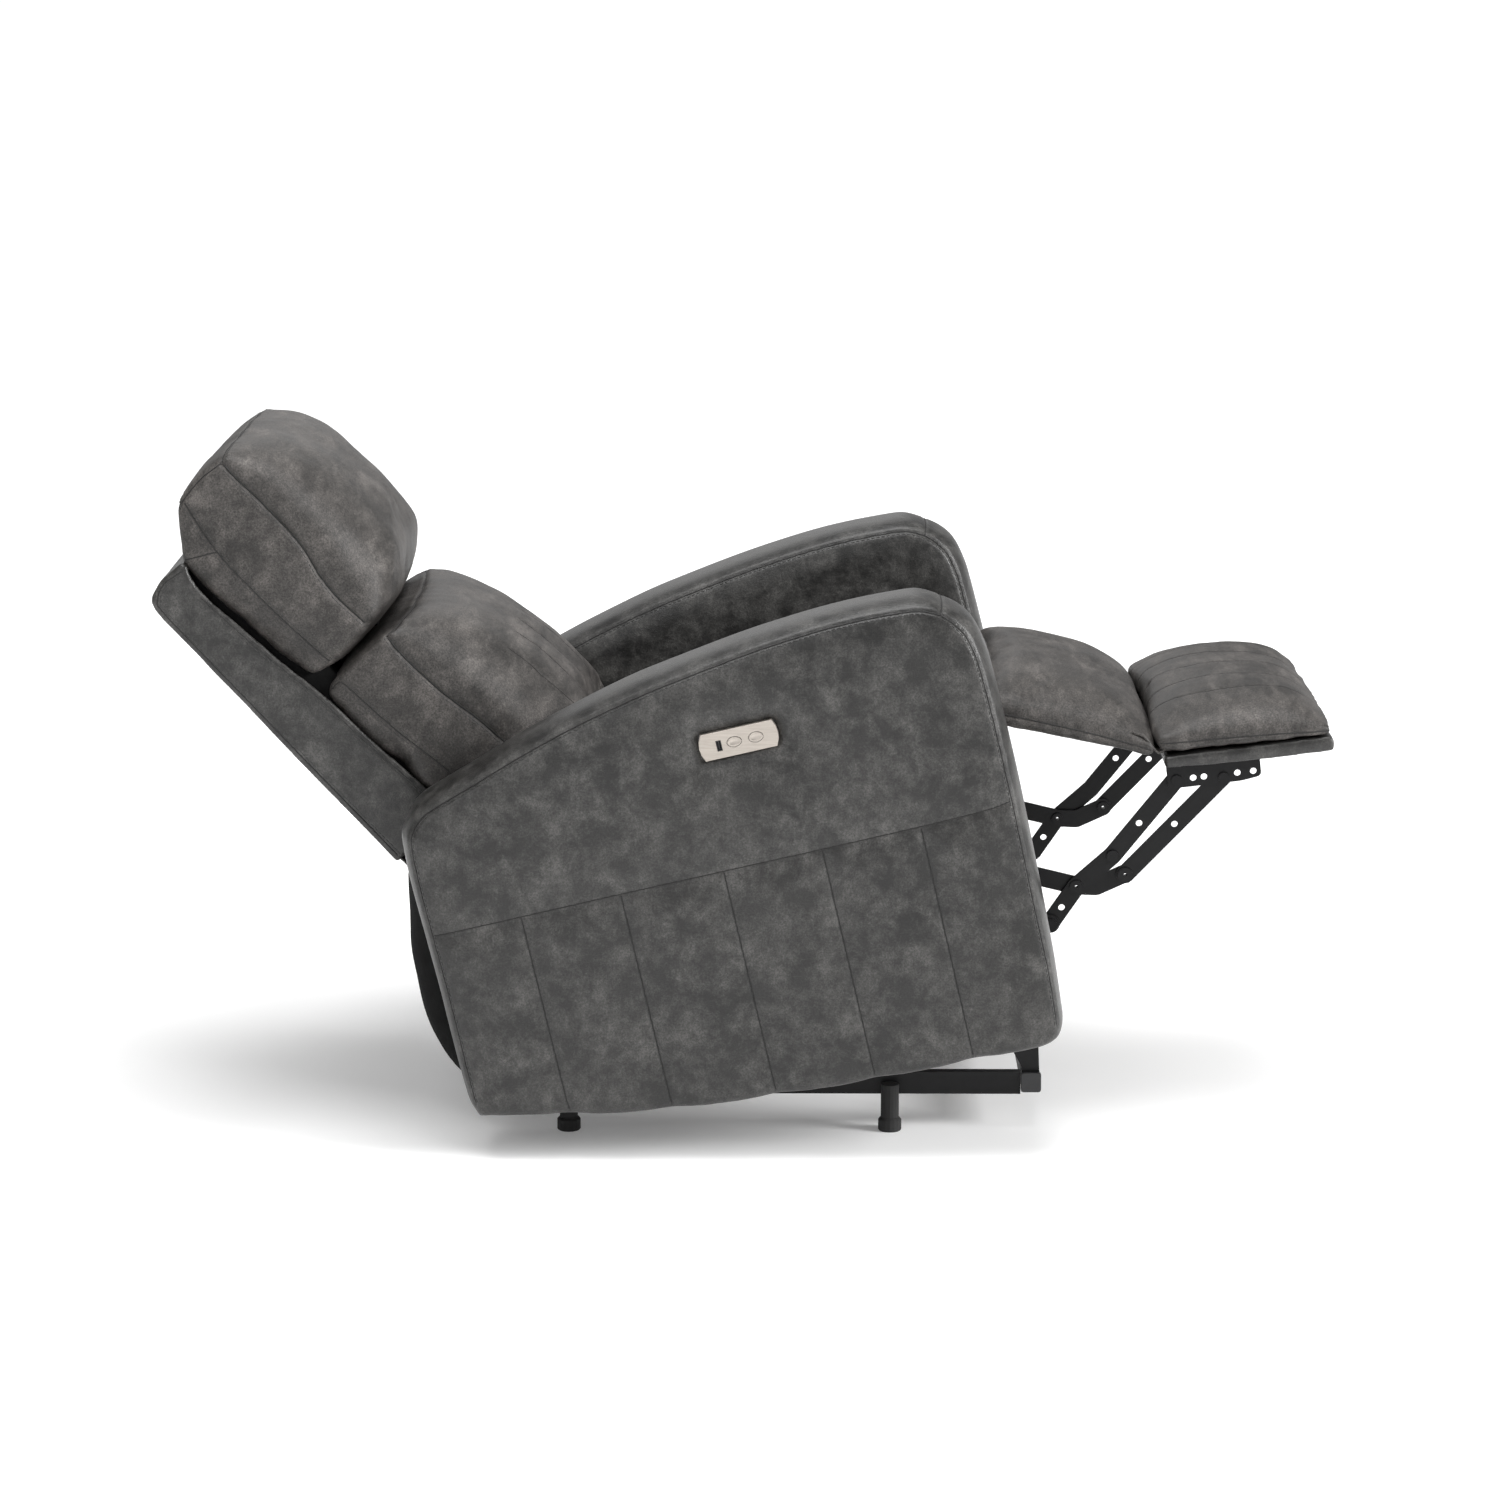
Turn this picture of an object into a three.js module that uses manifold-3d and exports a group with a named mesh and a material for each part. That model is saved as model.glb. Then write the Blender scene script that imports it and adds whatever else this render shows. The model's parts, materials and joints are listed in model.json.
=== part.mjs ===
// Power recliner armchair, fully reclined, in millimetres.
// +Z is up, the sitter faces -Y, and +X is the sitter's left.
// The origin is on the floor under the middle of the whole reclined chair.
import * as THREE from "three";
import { mergeVertices } from "three/addons/utils/BufferGeometryUtils.js";
import Module from "manifold-3d";

const wasm = await Module();
wasm.setup();

const rad = THREE.MathUtils.degToRad;

// ---------------------------------------------------------------- driving dimensions
// Poses of the reclined chair, as angles of each unit's own frame.
const SEAT_TILT = 13; // seat unit leans back by this much on the base
const BACK_RECLINE = 29.8; // backrest leans back by this much on the seat unit
const CALF_SLOPE = 25; // calf pad slopes down by this much in the seat unit
const OTTOMAN_SLOPE = 6.2; // ottoman slopes down by this much in the seat unit

// Hinge axes, as (y, z) pairs in the frame of the seat unit, whose origin is the tilt hinge.
const TILT_HEIGHT = 200; // tilt hinge above the floor
const TILT_Y = 35.4; // tilt hinge ahead of the middle of the chair
const BACK_HINGE = [200, 230];
const CALF_HINGE = [-438, 312];
const OTTOMAN_HINGE = [-634.4, 168.9];
const DRIVE_HINGE = [-321.9, 97.3];
const ROCKER_HINGE = [-286, 31.8];
const CROSS_PIVOT = [-490.4, 12.9]; // drive link and long link cross here
const TOE_PIVOT = [-556.4, 14.4]; // drive link carries the toe link here
const ROCKER_PIN = [-446.5, -28]; // rocker meets the tail of the long link
const LONG_LINK_TOP = [-648.4, 124.9];
const TOE_LINK_TOP = [-709.4, 114.9];
const LONG_LINK_BEND = [-545.4, 42.9];

// Widths across the chair.
const ARM_INNER = 264;
const ARM_OUTER = 404;
const PAD_HALF = 256; // calf pad and seat cushion
const OTTOMAN_HALF = 258;
const CUSHION_HALF = 245; // cushions of the backrest
const SHELL_HALF = 255;

// Steelwork layers across the chair, each as [inner x, outer x].
const LAYER_DRIVE = [207, 211];
const LAYER_LINK = [212, 216];
const LAYER_ROCKER = [217.2, 220.8];
const LAYER_SIDE = [222, 226];
const LAYER_HINGE = [228, 232];
const LINK_WIDTH = 24;
const RIVET_R = 5;
const RIVET_BORE = 2.5; // radius of the hole through a hollow rivet
const LINK_HOLE = 4.5; // radius of the spare holes in links and brackets
const PIN_R = 8;
const CLEAR = 0.4; // running clearance of a pin in its hole
const GAP = 0.3; // gap between pieces that touch

// Base.
const RAIL_X = [224, 239];
const RAIL_Z = [46, 76];
const RAIL_Y = [-403.2, 215];
const RAIL_WALL = 3;
const TUBE_SIZE = 25;
const TUBE_ROUND = 4;
const NOTCH_START = 4.5; // from the tube's middle, both rearward and upward
const FRONT_TUBE_Y = -417;
const REAR_TUBE_Y = 190;
const TUBE_Z = 62.5;
const TUBE_HALF = 214;
const FOOT_Y = { front: -230, rear: 195 };
const FOOT_X = 251.5; // the stems stand against the outer faces of the rails
const STEM_TOP = 63;

// ---------------------------------------------------------------- materials
const paint = (color, roughness, metalness = 0) =>
  new THREE.MeshStandardMaterial({ color, roughness, metalness });
const LEATHER = () => paint(0x55524f, 0.55);
const BLACK_STEEL = () => paint(0x18181a, 0.45, 0.6);
const WOOD = () => paint(0xb8945f, 0.8);
const RUBBER = () => paint(0x101011, 0.9);
const PLASTIC = () => paint(0x151516, 0.5);
const SATIN_METAL = () => paint(0xb5aaa0, 0.35, 0.8);
const SPRING_STEEL = () => paint(0x6c6e70, 0.4, 0.9);
const DUST_CLOTH = () => paint(0x070708, 0.95);

// ---------------------------------------------------------------- geometry helpers
const SIDES = 12; // facets of a round bar
const ARC_STEPS = 4; // facets of a curve in an outline

function toManifold(geometry) {
  const g = geometry.index ? geometry.toNonIndexed() : geometry.clone();
  for (const name of ["normal", "uv"]) g.deleteAttribute(name);
  const merged = mergeVertices(g, 1e-4);
  return new wasm.Manifold(
    new wasm.Mesh({
      numProp: 3,
      vertProperties: new Float32Array(merged.attributes.position.array),
      triVerts: new Uint32Array(merged.index.array),
    }),
  );
}

function toGeometry(solid) {
  const mesh = solid.getMesh();
  const g = new THREE.BufferGeometry();
  g.setAttribute("position", new THREE.BufferAttribute(mesh.vertProperties, 3));
  g.setIndex(new THREE.BufferAttribute(mesh.triVerts, 1));
  g.computeVertexNormals();
  return g;
}

const fuse = (first, ...rest) =>
  toGeometry(rest.reduce((solid, g) => solid.add(toManifold(g)), toManifold(first)));
const cut = (first, ...rest) =>
  toGeometry(rest.reduce((solid, g) => solid.subtract(toManifold(g)), toManifold(first)));

// Turns a shape drawn in (y, z) and extruded along the third axis so that it runs along +X.
const ALONG_X = new THREE.Matrix4().makeBasis(
  new THREE.Vector3(0, 1, 0),
  new THREE.Vector3(0, 0, 1),
  new THREE.Vector3(1, 0, 0),
);

// Extrudes a (y, z) shape from x0 to x1. A bevel rounds its long edges and stays inside x0..x1.
function extrudeX(shape, x0, x1, bevel = 0, curveSegments = ARC_STEPS) {
  const g = new THREE.ExtrudeGeometry(shape, {
    depth: x1 - x0 - 2 * bevel,
    bevelEnabled: bevel > 0,
    bevelThickness: bevel,
    bevelSize: bevel,
    bevelOffset: -bevel,
    bevelSegments: 2,
    curveSegments,
  });
  return g.translate(0, 0, bevel).applyMatrix4(ALONG_X).translate(x0, 0, 0);
}

// An extrusion in a layer on the side given by sign: -1 is -X and 1 is +X.
function inLayer(shape, [inner, outer], side, bevel = 0, steps = ARC_STEPS) {
  return side > 0
    ? extrudeX(shape, inner, outer, bevel, steps)
    : extrudeX(shape, -outer, -inner, bevel, steps);
}

// A closed outline through corner points, each rounded by its own or the common radius.
function outline(points, radius = 0) {
  const shape = new THREE.Shape();
  const n = points.length;
  points.forEach(([y, z, own], i) => {
    const here = new THREE.Vector2(y, z);
    const before = new THREE.Vector2(...points[(i + n - 1) % n]);
    const after = new THREE.Vector2(...points[(i + 1) % n]);
    const r = own ?? radius;
    const start = here.clone().add(before.sub(here).setLength(r));
    const end = here.clone().add(after.sub(here).setLength(r));
    if (i === 0) shape.moveTo(start.x, start.y);
    else shape.lineTo(start.x, start.y);
    if (r > 0) shape.quadraticCurveTo(here.x, here.y, end.x, end.y);
  });
  shape.closePath();
  return shape;
}

// A flat bar's outline with round ends, from a to b.
function stadium(a, b, width) {
  const r = width / 2;
  const turn = Math.atan2(b[1] - a[1], b[0] - a[0]);
  const shape = new THREE.Shape();
  shape.absarc(b[0], b[1], r, turn - Math.PI / 2, turn + Math.PI / 2, false);
  shape.absarc(a[0], a[1], r, turn + Math.PI / 2, turn + Math.PI * 1.5, false);
  shape.closePath();
  return shape;
}

function box([x0, x1], [y0, y1], [z0, z1]) {
  const g = new THREE.BoxGeometry(x1 - x0, y1 - y0, z1 - z0);
  return g.translate((x0 + x1) / 2, (y0 + y1) / 2, (z0 + z1) / 2);
}

// A round bar along X at (y, z), from x0 to x1.
function roundBar([y, z], radius, x0, x1) {
  const g = new THREE.CylinderGeometry(radius, radius, Math.abs(x1 - x0), SIDES);
  return g.rotateZ(Math.PI / 2).translate((x0 + x1) / 2, y, z);
}

// A flat bar through several points, with through holes.
function barLink(points, layer, side, holes = [], width = LINK_WIDTH) {
  const spans = points
    .slice(1)
    .map((p, i) => inLayer(stadium(points[i], p, width), layer, side));
  const bar = spans.length > 1 ? fuse(...spans) : spans[0];
  const drills = holes.map(([y, z, r]) => roundBar([y, z], r, side * 190, side * 240));
  return drills.length ? cut(bar, ...drills) : bar;
}

// A rivet head lying on one face of a layer; thickness is along the chair's width.
const rivetHead = (at, from, to, side, radius = 8) =>
  roundBar(at, radius, side * from, side * to);

function mesh(name, geometry, material) {
  const m = new THREE.Mesh(geometry, material);
  m.name = name;
  return m;
}

// A unit placed at a hinge given in its parent's frame.
function unitAt([y, z], degrees = 0) {
  const group = new THREE.Group();
  group.position.set(0, y, z);
  group.rotation.x = rad(degrees);
  return group;
}

const SIDE_NAMES = [
  ["left", 1],
  ["right", -1],
];
const minus = (a, b) => [a[0] - b[0], a[1] - b[1]];

// Carries (y, z) from the seat unit's frame into that of a unit turned by degrees.
function turned([y, z], degrees) {
  const c = Math.cos(rad(degrees));
  const s = Math.sin(rad(degrees));
  return [y * c + z * s, -y * s + z * c];
}

// ---------------------------------------------------------------- units
const chair = new THREE.Group();
const base = unitAt([TILT_Y, 0]);
const seat = unitAt([TILT_Y, TILT_HEIGHT], -SEAT_TILT);
const back = unitAt(BACK_HINGE, -BACK_RECLINE);
const HEADREST_HINGE = [-35, 340]; // in the backrest's frame
const headrest = unitAt(HEADREST_HINGE);
const calf = unitAt(CALF_HINGE, CALF_SLOPE);
const ottoman = unitAt(OTTOMAN_HINGE, OTTOMAN_SLOPE);
chair.add(base, seat);
seat.add(back, calf, ottoman);
back.add(headrest);
base.name = "base_frame_origin";
seat.name = "tilt_hinge";
back.name = "back_hinge";
headrest.name = "headrest_hinge_axis";
calf.name = "calf_hinge";
ottoman.name = "ottoman_hinge";

// ---------------------------------------------------------------- base
// Heights here are above the floor; y is measured from the tilt hinge.
function baseRail(side) {
  const [x0, x1] = RAIL_X;
  const [z0, z1] = RAIL_Z;
  const flange = box([x0, x1], RAIL_Y, [z1 - RAIL_WALL, z1]);
  const web = box([x1 - RAIL_WALL, x1], RAIL_Y, [z0, z1]);
  const rail = fuse(flange, web);
  return side > 0 ? rail : mirrorX(rail);
}

// Mirrors a geometry across the chair's middle plane and keeps its faces pointing out.
function mirrorX(geometry) {
  const g = geometry.index ? geometry.toNonIndexed() : geometry.clone();
  g.scale(-1, 1, 1);
  const p = g.attributes.position;
  const a = new THREE.Vector3();
  const b = new THREE.Vector3();
  for (let i = 0; i < p.count; i += 3) {
    a.fromBufferAttribute(p, i + 1);
    b.fromBufferAttribute(p, i + 2);
    p.setXYZ(i + 1, b.x, b.y, b.z);
    p.setXYZ(i + 2, a.x, a.y, a.z);
  }
  g.computeVertexNormals();
  return g;
}

function crossTube(y, half) {
  const h = TUBE_SIZE / 2;
  const section = outline(
    [
      [y - h, TUBE_Z - h],
      [y + h, TUBE_Z - h],
      [y + h, TUBE_Z + h],
      [y - h, TUBE_Z + h],
    ],
    TUBE_ROUND,
  );
  return extrudeX(section, -half, half);
}

// The front tube carries an upright steel post near each end. Its upper rear edge is notched
// where the toe links swing past.
function frontTube() {
  const posts = SIDE_NAMES.map(([, side]) => {
    const y = FRONT_TUBE_Y;
    const shape = outline([
      [y - 12, TUBE_Z - 4],
      [y - 8, 150, 5],
      [y + 12, 150, 5],
      [y + 25, 105, 5],
      [y + 12, RAIL_Z[1] + 6],
      [y + 12, TUBE_Z - 4],
    ]);
    return inLayer(shape, [229, 234], side);
  });
  const notches = SIDE_NAMES.map(([, side]) => {
    const past = TUBE_SIZE / 2 + 1;
    const shape = outline([
      [FRONT_TUBE_Y + NOTCH_START, TUBE_Z + NOTCH_START],
      [FRONT_TUBE_Y + past, TUBE_Z + NOTCH_START],
      [FRONT_TUBE_Y + past, TUBE_Z + past],
      [FRONT_TUBE_Y + NOTCH_START, TUBE_Z + past],
    ]);
    return inLayer(shape, [LAYER_LINK[0] - 2, LAYER_LINK[1] + 2], side);
  });
  return cut(fuse(crossTube(FRONT_TUBE_Y, 236), ...posts), ...notches);
}

function tubeCap(side) {
  const h = TUBE_SIZE / 2 + 1;
  const shape = outline(
    [
      [FRONT_TUBE_Y - h, TUBE_Z - h],
      [FRONT_TUBE_Y + h, TUBE_Z - h],
      [FRONT_TUBE_Y + h, TUBE_Z + h],
      [FRONT_TUBE_Y - h, TUBE_Z + h],
    ],
    4,
  );
  return inLayer(shape, [236 + GAP, 243], side, 1);
}

// A levelling glide: a stem beside the rail and a wider rubber cap on the floor.
function glide() {
  const profile = [
    [0, 0],
    [14, 0],
    [15.5, 1.5],
    [15.5, 15],
    [13, 17.5],
    [12, 17.5],
    [12, STEM_TOP],
    [0, STEM_TOP],
  ].map(([r, z]) => new THREE.Vector2(r, z));
  return new THREE.LatheGeometry(profile, 16).rotateX(Math.PI / 2);
}

// A triangular bracket welded on the rail that carries the tilt bolt.
function tiltPedestal(side) {
  const top = TILT_HEIGHT;
  const foot = RAIL_Z[1] + GAP;
  const shape = outline([
    [-80, foot],
    [80, foot],
    [80, foot + 24, 6],
    [26, top + 8, 8],
    [14, top + 22, 8],
    [-14, top + 22, 8],
    [-26, top + 8, 8],
    [-80, foot + 24, 6],
  ]);
  const plate = inLayer(shape, LAYER_HINGE, side);
  const bolt = roundBar([0, top], PIN_R, side * 218, side * 234);
  const inner = rivetHead([0, top], 216, 221.4, side, 13);
  const outer = rivetHead([0, top], 230, 238, side, 13);
  return fuse(plate, bolt, inner, outer);
}

function powerSupply() {
  const shell = box([-55, 55], [140, 230], [TUBE_Z + TUBE_SIZE / 2 + GAP, 112]);
  const inlet = box([-14, 14], [222, 234], [84, 104]);
  return cut(shell, inlet);
}

for (const [name, side] of SIDE_NAMES) {
  base.add(mesh(`base_rail_${name}`, baseRail(side), BLACK_STEEL()));
  base.add(mesh(`tube_cap_${name}`, tubeCap(side), PLASTIC()));
  base.add(mesh(`tilt_pedestal_${name}`, tiltPedestal(side), BLACK_STEEL()));
  for (const end of ["front", "rear"]) {
    const foot = mesh(`glide_${end}_${name}`, glide(), RUBBER());
    foot.position.set(side * FOOT_X, FOOT_Y[end], 0);
    base.add(foot);
  }
}
base.add(mesh("base_front_tube", frontTube(), BLACK_STEEL()));
base.add(mesh("base_rear_tube", crossTube(REAR_TUBE_Y, TUBE_HALF), BLACK_STEEL()));
base.add(mesh("power_supply", powerSupply(), PLASTIC()));

// ---------------------------------------------------------------- seat unit steelwork
function sidePlate(side) {
  const shape = outline([
    [-352, 78, 12],
    [-322, 0, 14],
    [-270, 0, 14],
    [-150, 14, 20],
    [-40, -26, 14],
    [40, -26, 14],
    [185, 40, 20],
    [232, 222, 20],
    [215, 256, 14],
    [178, 250, 14],
    [150, 150 - GAP, 8],
    [-345, 150 - GAP, 10],
  ]);
  const plate = inLayer(shape, LAYER_SIDE, side);
  const through = (at, radius) => roundBar(at, radius + CLEAR, side * 200, side * 250);
  return cut(
    plate,
    through([0, 0], PIN_R),
    through(BACK_HINGE, PIN_R),
    through(DRIVE_HINGE, PIN_R),
    through(ROCKER_HINGE, RIVET_R),
    through([-210, 85], 20),
    through([70, 85], 26),
  );
}

// Wooden rails of the seat frame, lying on the side plates between the arms.
const SEAT_RAIL_Z = [150, 181];
const seatRail = (y0, y1) =>
  box([-ARM_INNER + GAP, ARM_INNER - GAP], [y0, y1], SEAT_RAIL_Z);

// A steel cross tube between the side plates, with a clevis for the actuator.
function rearCrossTube() {
  const inner = LAYER_SIDE[0] - GAP;
  const tube = box([-inner, inner], [146, 171], [20, 45]);
  const ear = outline([
    [128, 20, 6],
    [150, 20],
    [150, 45],
    [128, 45, 6],
  ]);
  return fuse(tube, extrudeX(ear, -26, -21), extrudeX(ear, 21, 26));
}

// Sinuous springs run fore and aft between two clip strips on the seat rails.
function seatSprings() {
  const wireZ = SEAT_RAIL_Z[1] + 3.2;
  const [front, rear] = [-352, 112];
  const waves = 8;
  const swing = 20;
  const section = new THREE.Shape().absarc(0, 0, 2, 0, Math.PI * 2);
  const wires = [-165, -55, 55, 165].map((x) => {
    const path = new THREE.CatmullRomCurve3(
      Array.from({ length: waves * 2 + 1 }, (_, i) => {
        const side = i % 2 ? 1 : -1;
        const y = front + ((rear - front) * i) / (waves * 2);
        const edge = i === 0 || i === waves * 2;
        return new THREE.Vector3(x + (edge ? 0 : side * swing), y, wireZ);
      }),
    );
    return new THREE.ExtrudeGeometry(section, {
      extrudePath: path,
      steps: waves * 4,
      curveSegments: 3,
    });
  });
  const strip = (y) => box([-200, 200], [y - 7, y + 7], [wireZ - 2.4, wireZ + 2.4]);
  return fuse(strip(front), strip(rear), ...wires);
}

for (const [name, side] of SIDE_NAMES) {
  seat.add(mesh(`side_plate_${name}`, sidePlate(side), BLACK_STEEL()));
}
seat.add(mesh("seat_front_rail", seatRail(-378, -338), WOOD()));
seat.add(mesh("seat_rear_rail", seatRail(98, 138), WOOD()));
seat.add(mesh("rear_cross_tube", rearCrossTube(), BLACK_STEEL()));
seat.add(mesh("seat_springs", seatSprings(), SPRING_STEEL()));

// ---------------------------------------------------------------- actuator
const CRANK_LENGTH = 60;
const CRANK_SWING = 78.27; // turn of the drive links from open to stowed
const crankAngle = rad(270 - CRANK_SWING / 2);
const CRANK_PIN = [
  DRIVE_HINGE[0] + CRANK_LENGTH * Math.cos(crankAngle),
  DRIVE_HINGE[1] + CRANK_LENGTH * Math.sin(crankAngle),
];
const ROD_LENGTH = 100;
const BLOCK_PIN = [CRANK_PIN[0] + ROD_LENGTH, CRANK_PIN[1]];
const RAIL_SECTION = { half: 14, z: [22, 38] };

function motorHousing() {
  const gearbox = box([-34, 34], [60 + GAP, 126], [8, 74]);
  const motor = roundBar([93, 41], 27, 30, 120);
  const tongue = box([-20, 20], [120, 145], [24, 41]);
  return fuse(gearbox, motor, tongue);
}

function slideBlock() {
  const [y, z] = BLOCK_PIN;
  const shell = box([-24, 24], [y - 26, y + 26], [z - 34, z + 12]);
  const { half, z: railZ } = RAIL_SECTION;
  const channel = box(
    [-half - 0.5, half + 0.5],
    [y - 40, y + 40],
    [railZ[0] - 0.5, railZ[1] + 0.5],
  );
  const rod = extrudeX(stadium(CRANK_PIN, BLOCK_PIN, 20), 29, 33);
  const pin = roundBar(BLOCK_PIN, 6, 20, 36);
  const boss = roundBar(CRANK_PIN, 8, 31, 36);
  return fuse(cut(shell, channel), rod, pin, boss);
}

seat.add(mesh("motor_housing", motorHousing(), PLASTIC()));
seat.add(
  mesh(
    "actuator_rail",
    box([-RAIL_SECTION.half, RAIL_SECTION.half], [-300, 60], RAIL_SECTION.z),
    SPRING_STEEL(),
  ),
);
seat.add(mesh("slide_block", slideBlock(), PLASTIC()));

// ---------------------------------------------------------------- footrest linkage
// Drive links turn together on the torque tube; each carries a long link and a toe link.
const DRIVE_ELBOW = [-516, 6];
function driveLink(side) {
  const arm = barLink(
    [DRIVE_HINGE, CROSS_PIVOT, DRIVE_ELBOW, TOE_PIVOT],
    LAYER_DRIVE,
    side,
    [
      [...CROSS_PIVOT, RIVET_R + CLEAR],
      [...TOE_PIVOT, RIVET_R + CLEAR],
    ],
  );
  const shaft = roundBar(DRIVE_HINGE, PIN_R, side * 208, side * 229);
  const head = rivetHead(DRIVE_HINGE, 226.6, 230, side, 12);
  const collar = rivetHead(DRIVE_HINGE, 209, 221.4, side, 13);
  return fuse(arm, shaft, head, collar);
}

// Fuses to a link the hollow rivet whose shank passes through the drive link and is rolled over
// on the inner side.
function withCrossingRivet(link, at, side, headRadius) {
  const rivet = fuse(
    roundBar(at, RIVET_R, side * 205, side * 214),
    rivetHead(at, 203.6, 206.4, side, 8),
    rivetHead(at, 214, 219, side, headRadius),
  );
  return cut(fuse(link, rivet), roundBar(at, RIVET_BORE, side * 200, side * 222));
}

function longLink(side) {
  const tail = ROCKER_PIN;
  const hole = [-588.9, 77.9, LINK_HOLE];
  const low = [-465.4, -10.6, LINK_HOLE];
  const bar = barLink(
    [tail, CROSS_PIVOT, LONG_LINK_BEND, LONG_LINK_TOP],
    LAYER_LINK,
    side,
    [hole, low],
  );
  const topRivet = rivetHead(LONG_LINK_TOP, 209, 214, side, 8);
  const bendBolt = rivetHead(LONG_LINK_BEND, 215, 220, side, 8);
  return withCrossingRivet(fuse(bar, topRivet, bendBolt), CROSS_PIVOT, side, 9);
}

function toeLink(side) {
  const hole = [-633.9, 66.4, LINK_HOLE];
  const bar = barLink([TOE_PIVOT, TOE_LINK_TOP], LAYER_LINK, side, [hole]);
  const topRivet = rivetHead(TOE_LINK_TOP, 209, 214, side, 8);
  return withCrossingRivet(fuse(bar, topRivet), TOE_PIVOT, side, 10);
}

function rocker(side) {
  const bar = barLink([ROCKER_HINGE, ROCKER_PIN], LAYER_ROCKER, side);
  const pin = roundBar(ROCKER_HINGE, RIVET_R, side * 219, side * 229);
  const head = rivetHead(ROCKER_HINGE, 226.6, 230, side, 9);
  const tail = rivetHead(ROCKER_PIN, 219, 223.4, side, 8);
  return fuse(bar, pin, head, tail);
}

function torqueTube() {
  const end = LAYER_DRIVE[0] - GAP;
  const tube = roundBar(DRIVE_HINGE, 11, -end, end);
  const crank = extrudeX(stadium(DRIVE_HINGE, CRANK_PIN, 26), 22, 27);
  return fuse(tube, crank);
}

for (const [name, side] of SIDE_NAMES) {
  seat.add(mesh(`drive_link_${name}`, driveLink(side), BLACK_STEEL()));
  seat.add(mesh(`long_link_${name}`, longLink(side), BLACK_STEEL()));
  seat.add(mesh(`toe_link_${name}`, toeLink(side), BLACK_STEEL()));
  seat.add(mesh(`rocker_${name}`, rocker(side), BLACK_STEEL()));
}
seat.add(mesh("torque_tube", torqueTube(), BLACK_STEEL()));

// ---------------------------------------------------------------- arms
// Side outline of an arm: a domed front, a long falling top and a sled-curved bottom.
function armShape() {
  const shape = new THREE.Shape();
  shape.moveTo(-438, -112);
  shape.lineTo(-442, 60);
  shape.lineTo(-440, 310);
  shape.quadraticCurveTo(-439, 372, -421, 412);
  shape.quadraticCurveTo(-398, 458, -330, 463);
  shape.splineThru(
    [
      [-240, 466],
      [-139, 457],
      [0, 432],
      [170, 386],
      [300, 341],
    ].map(([y, z]) => new THREE.Vector2(y, z)),
  );
  shape.quadraticCurveTo(346, 325, 347, 284);
  shape.lineTo(337, 120);
  shape.lineTo(334, -52);
  shape.quadraticCurveTo(333, -68, 316, -72);
  shape.splineThru(
    [
      [174, -98],
      [40, -119],
      [-130, -132],
      [-410, -141],
    ].map(([y, z]) => new THREE.Vector2(y, z)),
  );
  shape.quadraticCurveTo(-436, -142, -438, -112);
  return shape;
}

// The plywood panel inside an arm, and the slot that holds it, open at the bottom.
const BOARD_X = [325, 343];
function armBoardShape(margin, drop) {
  return outline(
    [
      [-398 - margin, -128 - drop],
      [-400 - margin, 330 + margin],
      [-350, 418 + margin],
      [-230, 424 + margin],
      [150, 350 + margin],
      [300 + margin, 296 + margin],
      [296 + margin, -62 - drop],
      [30, -106 - drop],
    ],
    1,
  );
}

const PANEL = { y: -111, z: 340, length: 103, height: 35, depth: 24 };
function armPad(side) {
  const pad = inLayer(armShape(), [ARM_INNER, ARM_OUTER], side, 9, 3);
  const [x0, x1] = BOARD_X;
  const slot = inLayer(armBoardShape(1, 60), [x0 - 0.5, x1 + 0.5], side, 0, 1);
  const pocket = box(
    [-ARM_OUTER - 10, -ARM_OUTER + PANEL.depth + 1],
    [PANEL.y - PANEL.length / 2 - 1, PANEL.y + PANEL.length / 2 + 1],
    [PANEL.z - PANEL.height / 2 - 1, PANEL.z + PANEL.height / 2 + 1],
  );
  return side < 0 ? cut(pad, slot, pocket) : cut(pad, slot);
}

for (const [name, side] of SIDE_NAMES) {
  seat.add(mesh(`arm_pad_${name}`, armPad(side), LEATHER()));
  const board = inLayer(armBoardShape(0, 0), BOARD_X, side, 0, 1);
  seat.add(mesh(`arm_board_${name}`, board, WOOD()));
}

// ---------------------------------------------------------------- control panel
const BUTTON = { ry: 9.5, rz: 6.6, y: [-105.4, -133.4], proud: 0.4, travel: 1.5 };
const USB = { y: -85.4, z: 339, width: 7, height: 14 };
const PANEL_FACE = -ARM_OUTER - 2.5;

function oval(y, z, ry, rz) {
  return new THREE.Shape().absellipse(y, z, ry, rz, 0, Math.PI * 2);
}

function controlBezel() {
  const { y, z, length, height, depth } = PANEL;
  const shape = new THREE.Shape();
  const bow = 5;
  const [y0, y1] = [y - length / 2 + bow, y + length / 2 - bow];
  const [z0, z1] = [z - height / 2, z + height / 2];
  shape.moveTo(y0, z0);
  shape.lineTo(y1, z0);
  shape.quadraticCurveTo(y1 + 2 * bow, z, y1, z1);
  shape.lineTo(y0, z1);
  shape.quadraticCurveTo(y0 - 2 * bow, z, y0, z0);
  const plate = extrudeX(shape, PANEL_FACE, -ARM_OUTER + depth, 1);
  const wells = BUTTON.y.map((by) =>
    extrudeX(oval(by, z, BUTTON.ry + 0.5, BUTTON.rz + 0.5), PANEL_FACE - 5, PANEL_FACE + 12, 0, 6),
  );
  const socket = box(
    [PANEL_FACE - 5, PANEL_FACE + 14],
    [USB.y - USB.width / 2, USB.y + USB.width / 2],
    [USB.z - USB.height / 2, USB.z + USB.height / 2],
  );
  return cut(plate, ...wells, socket);
}

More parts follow.
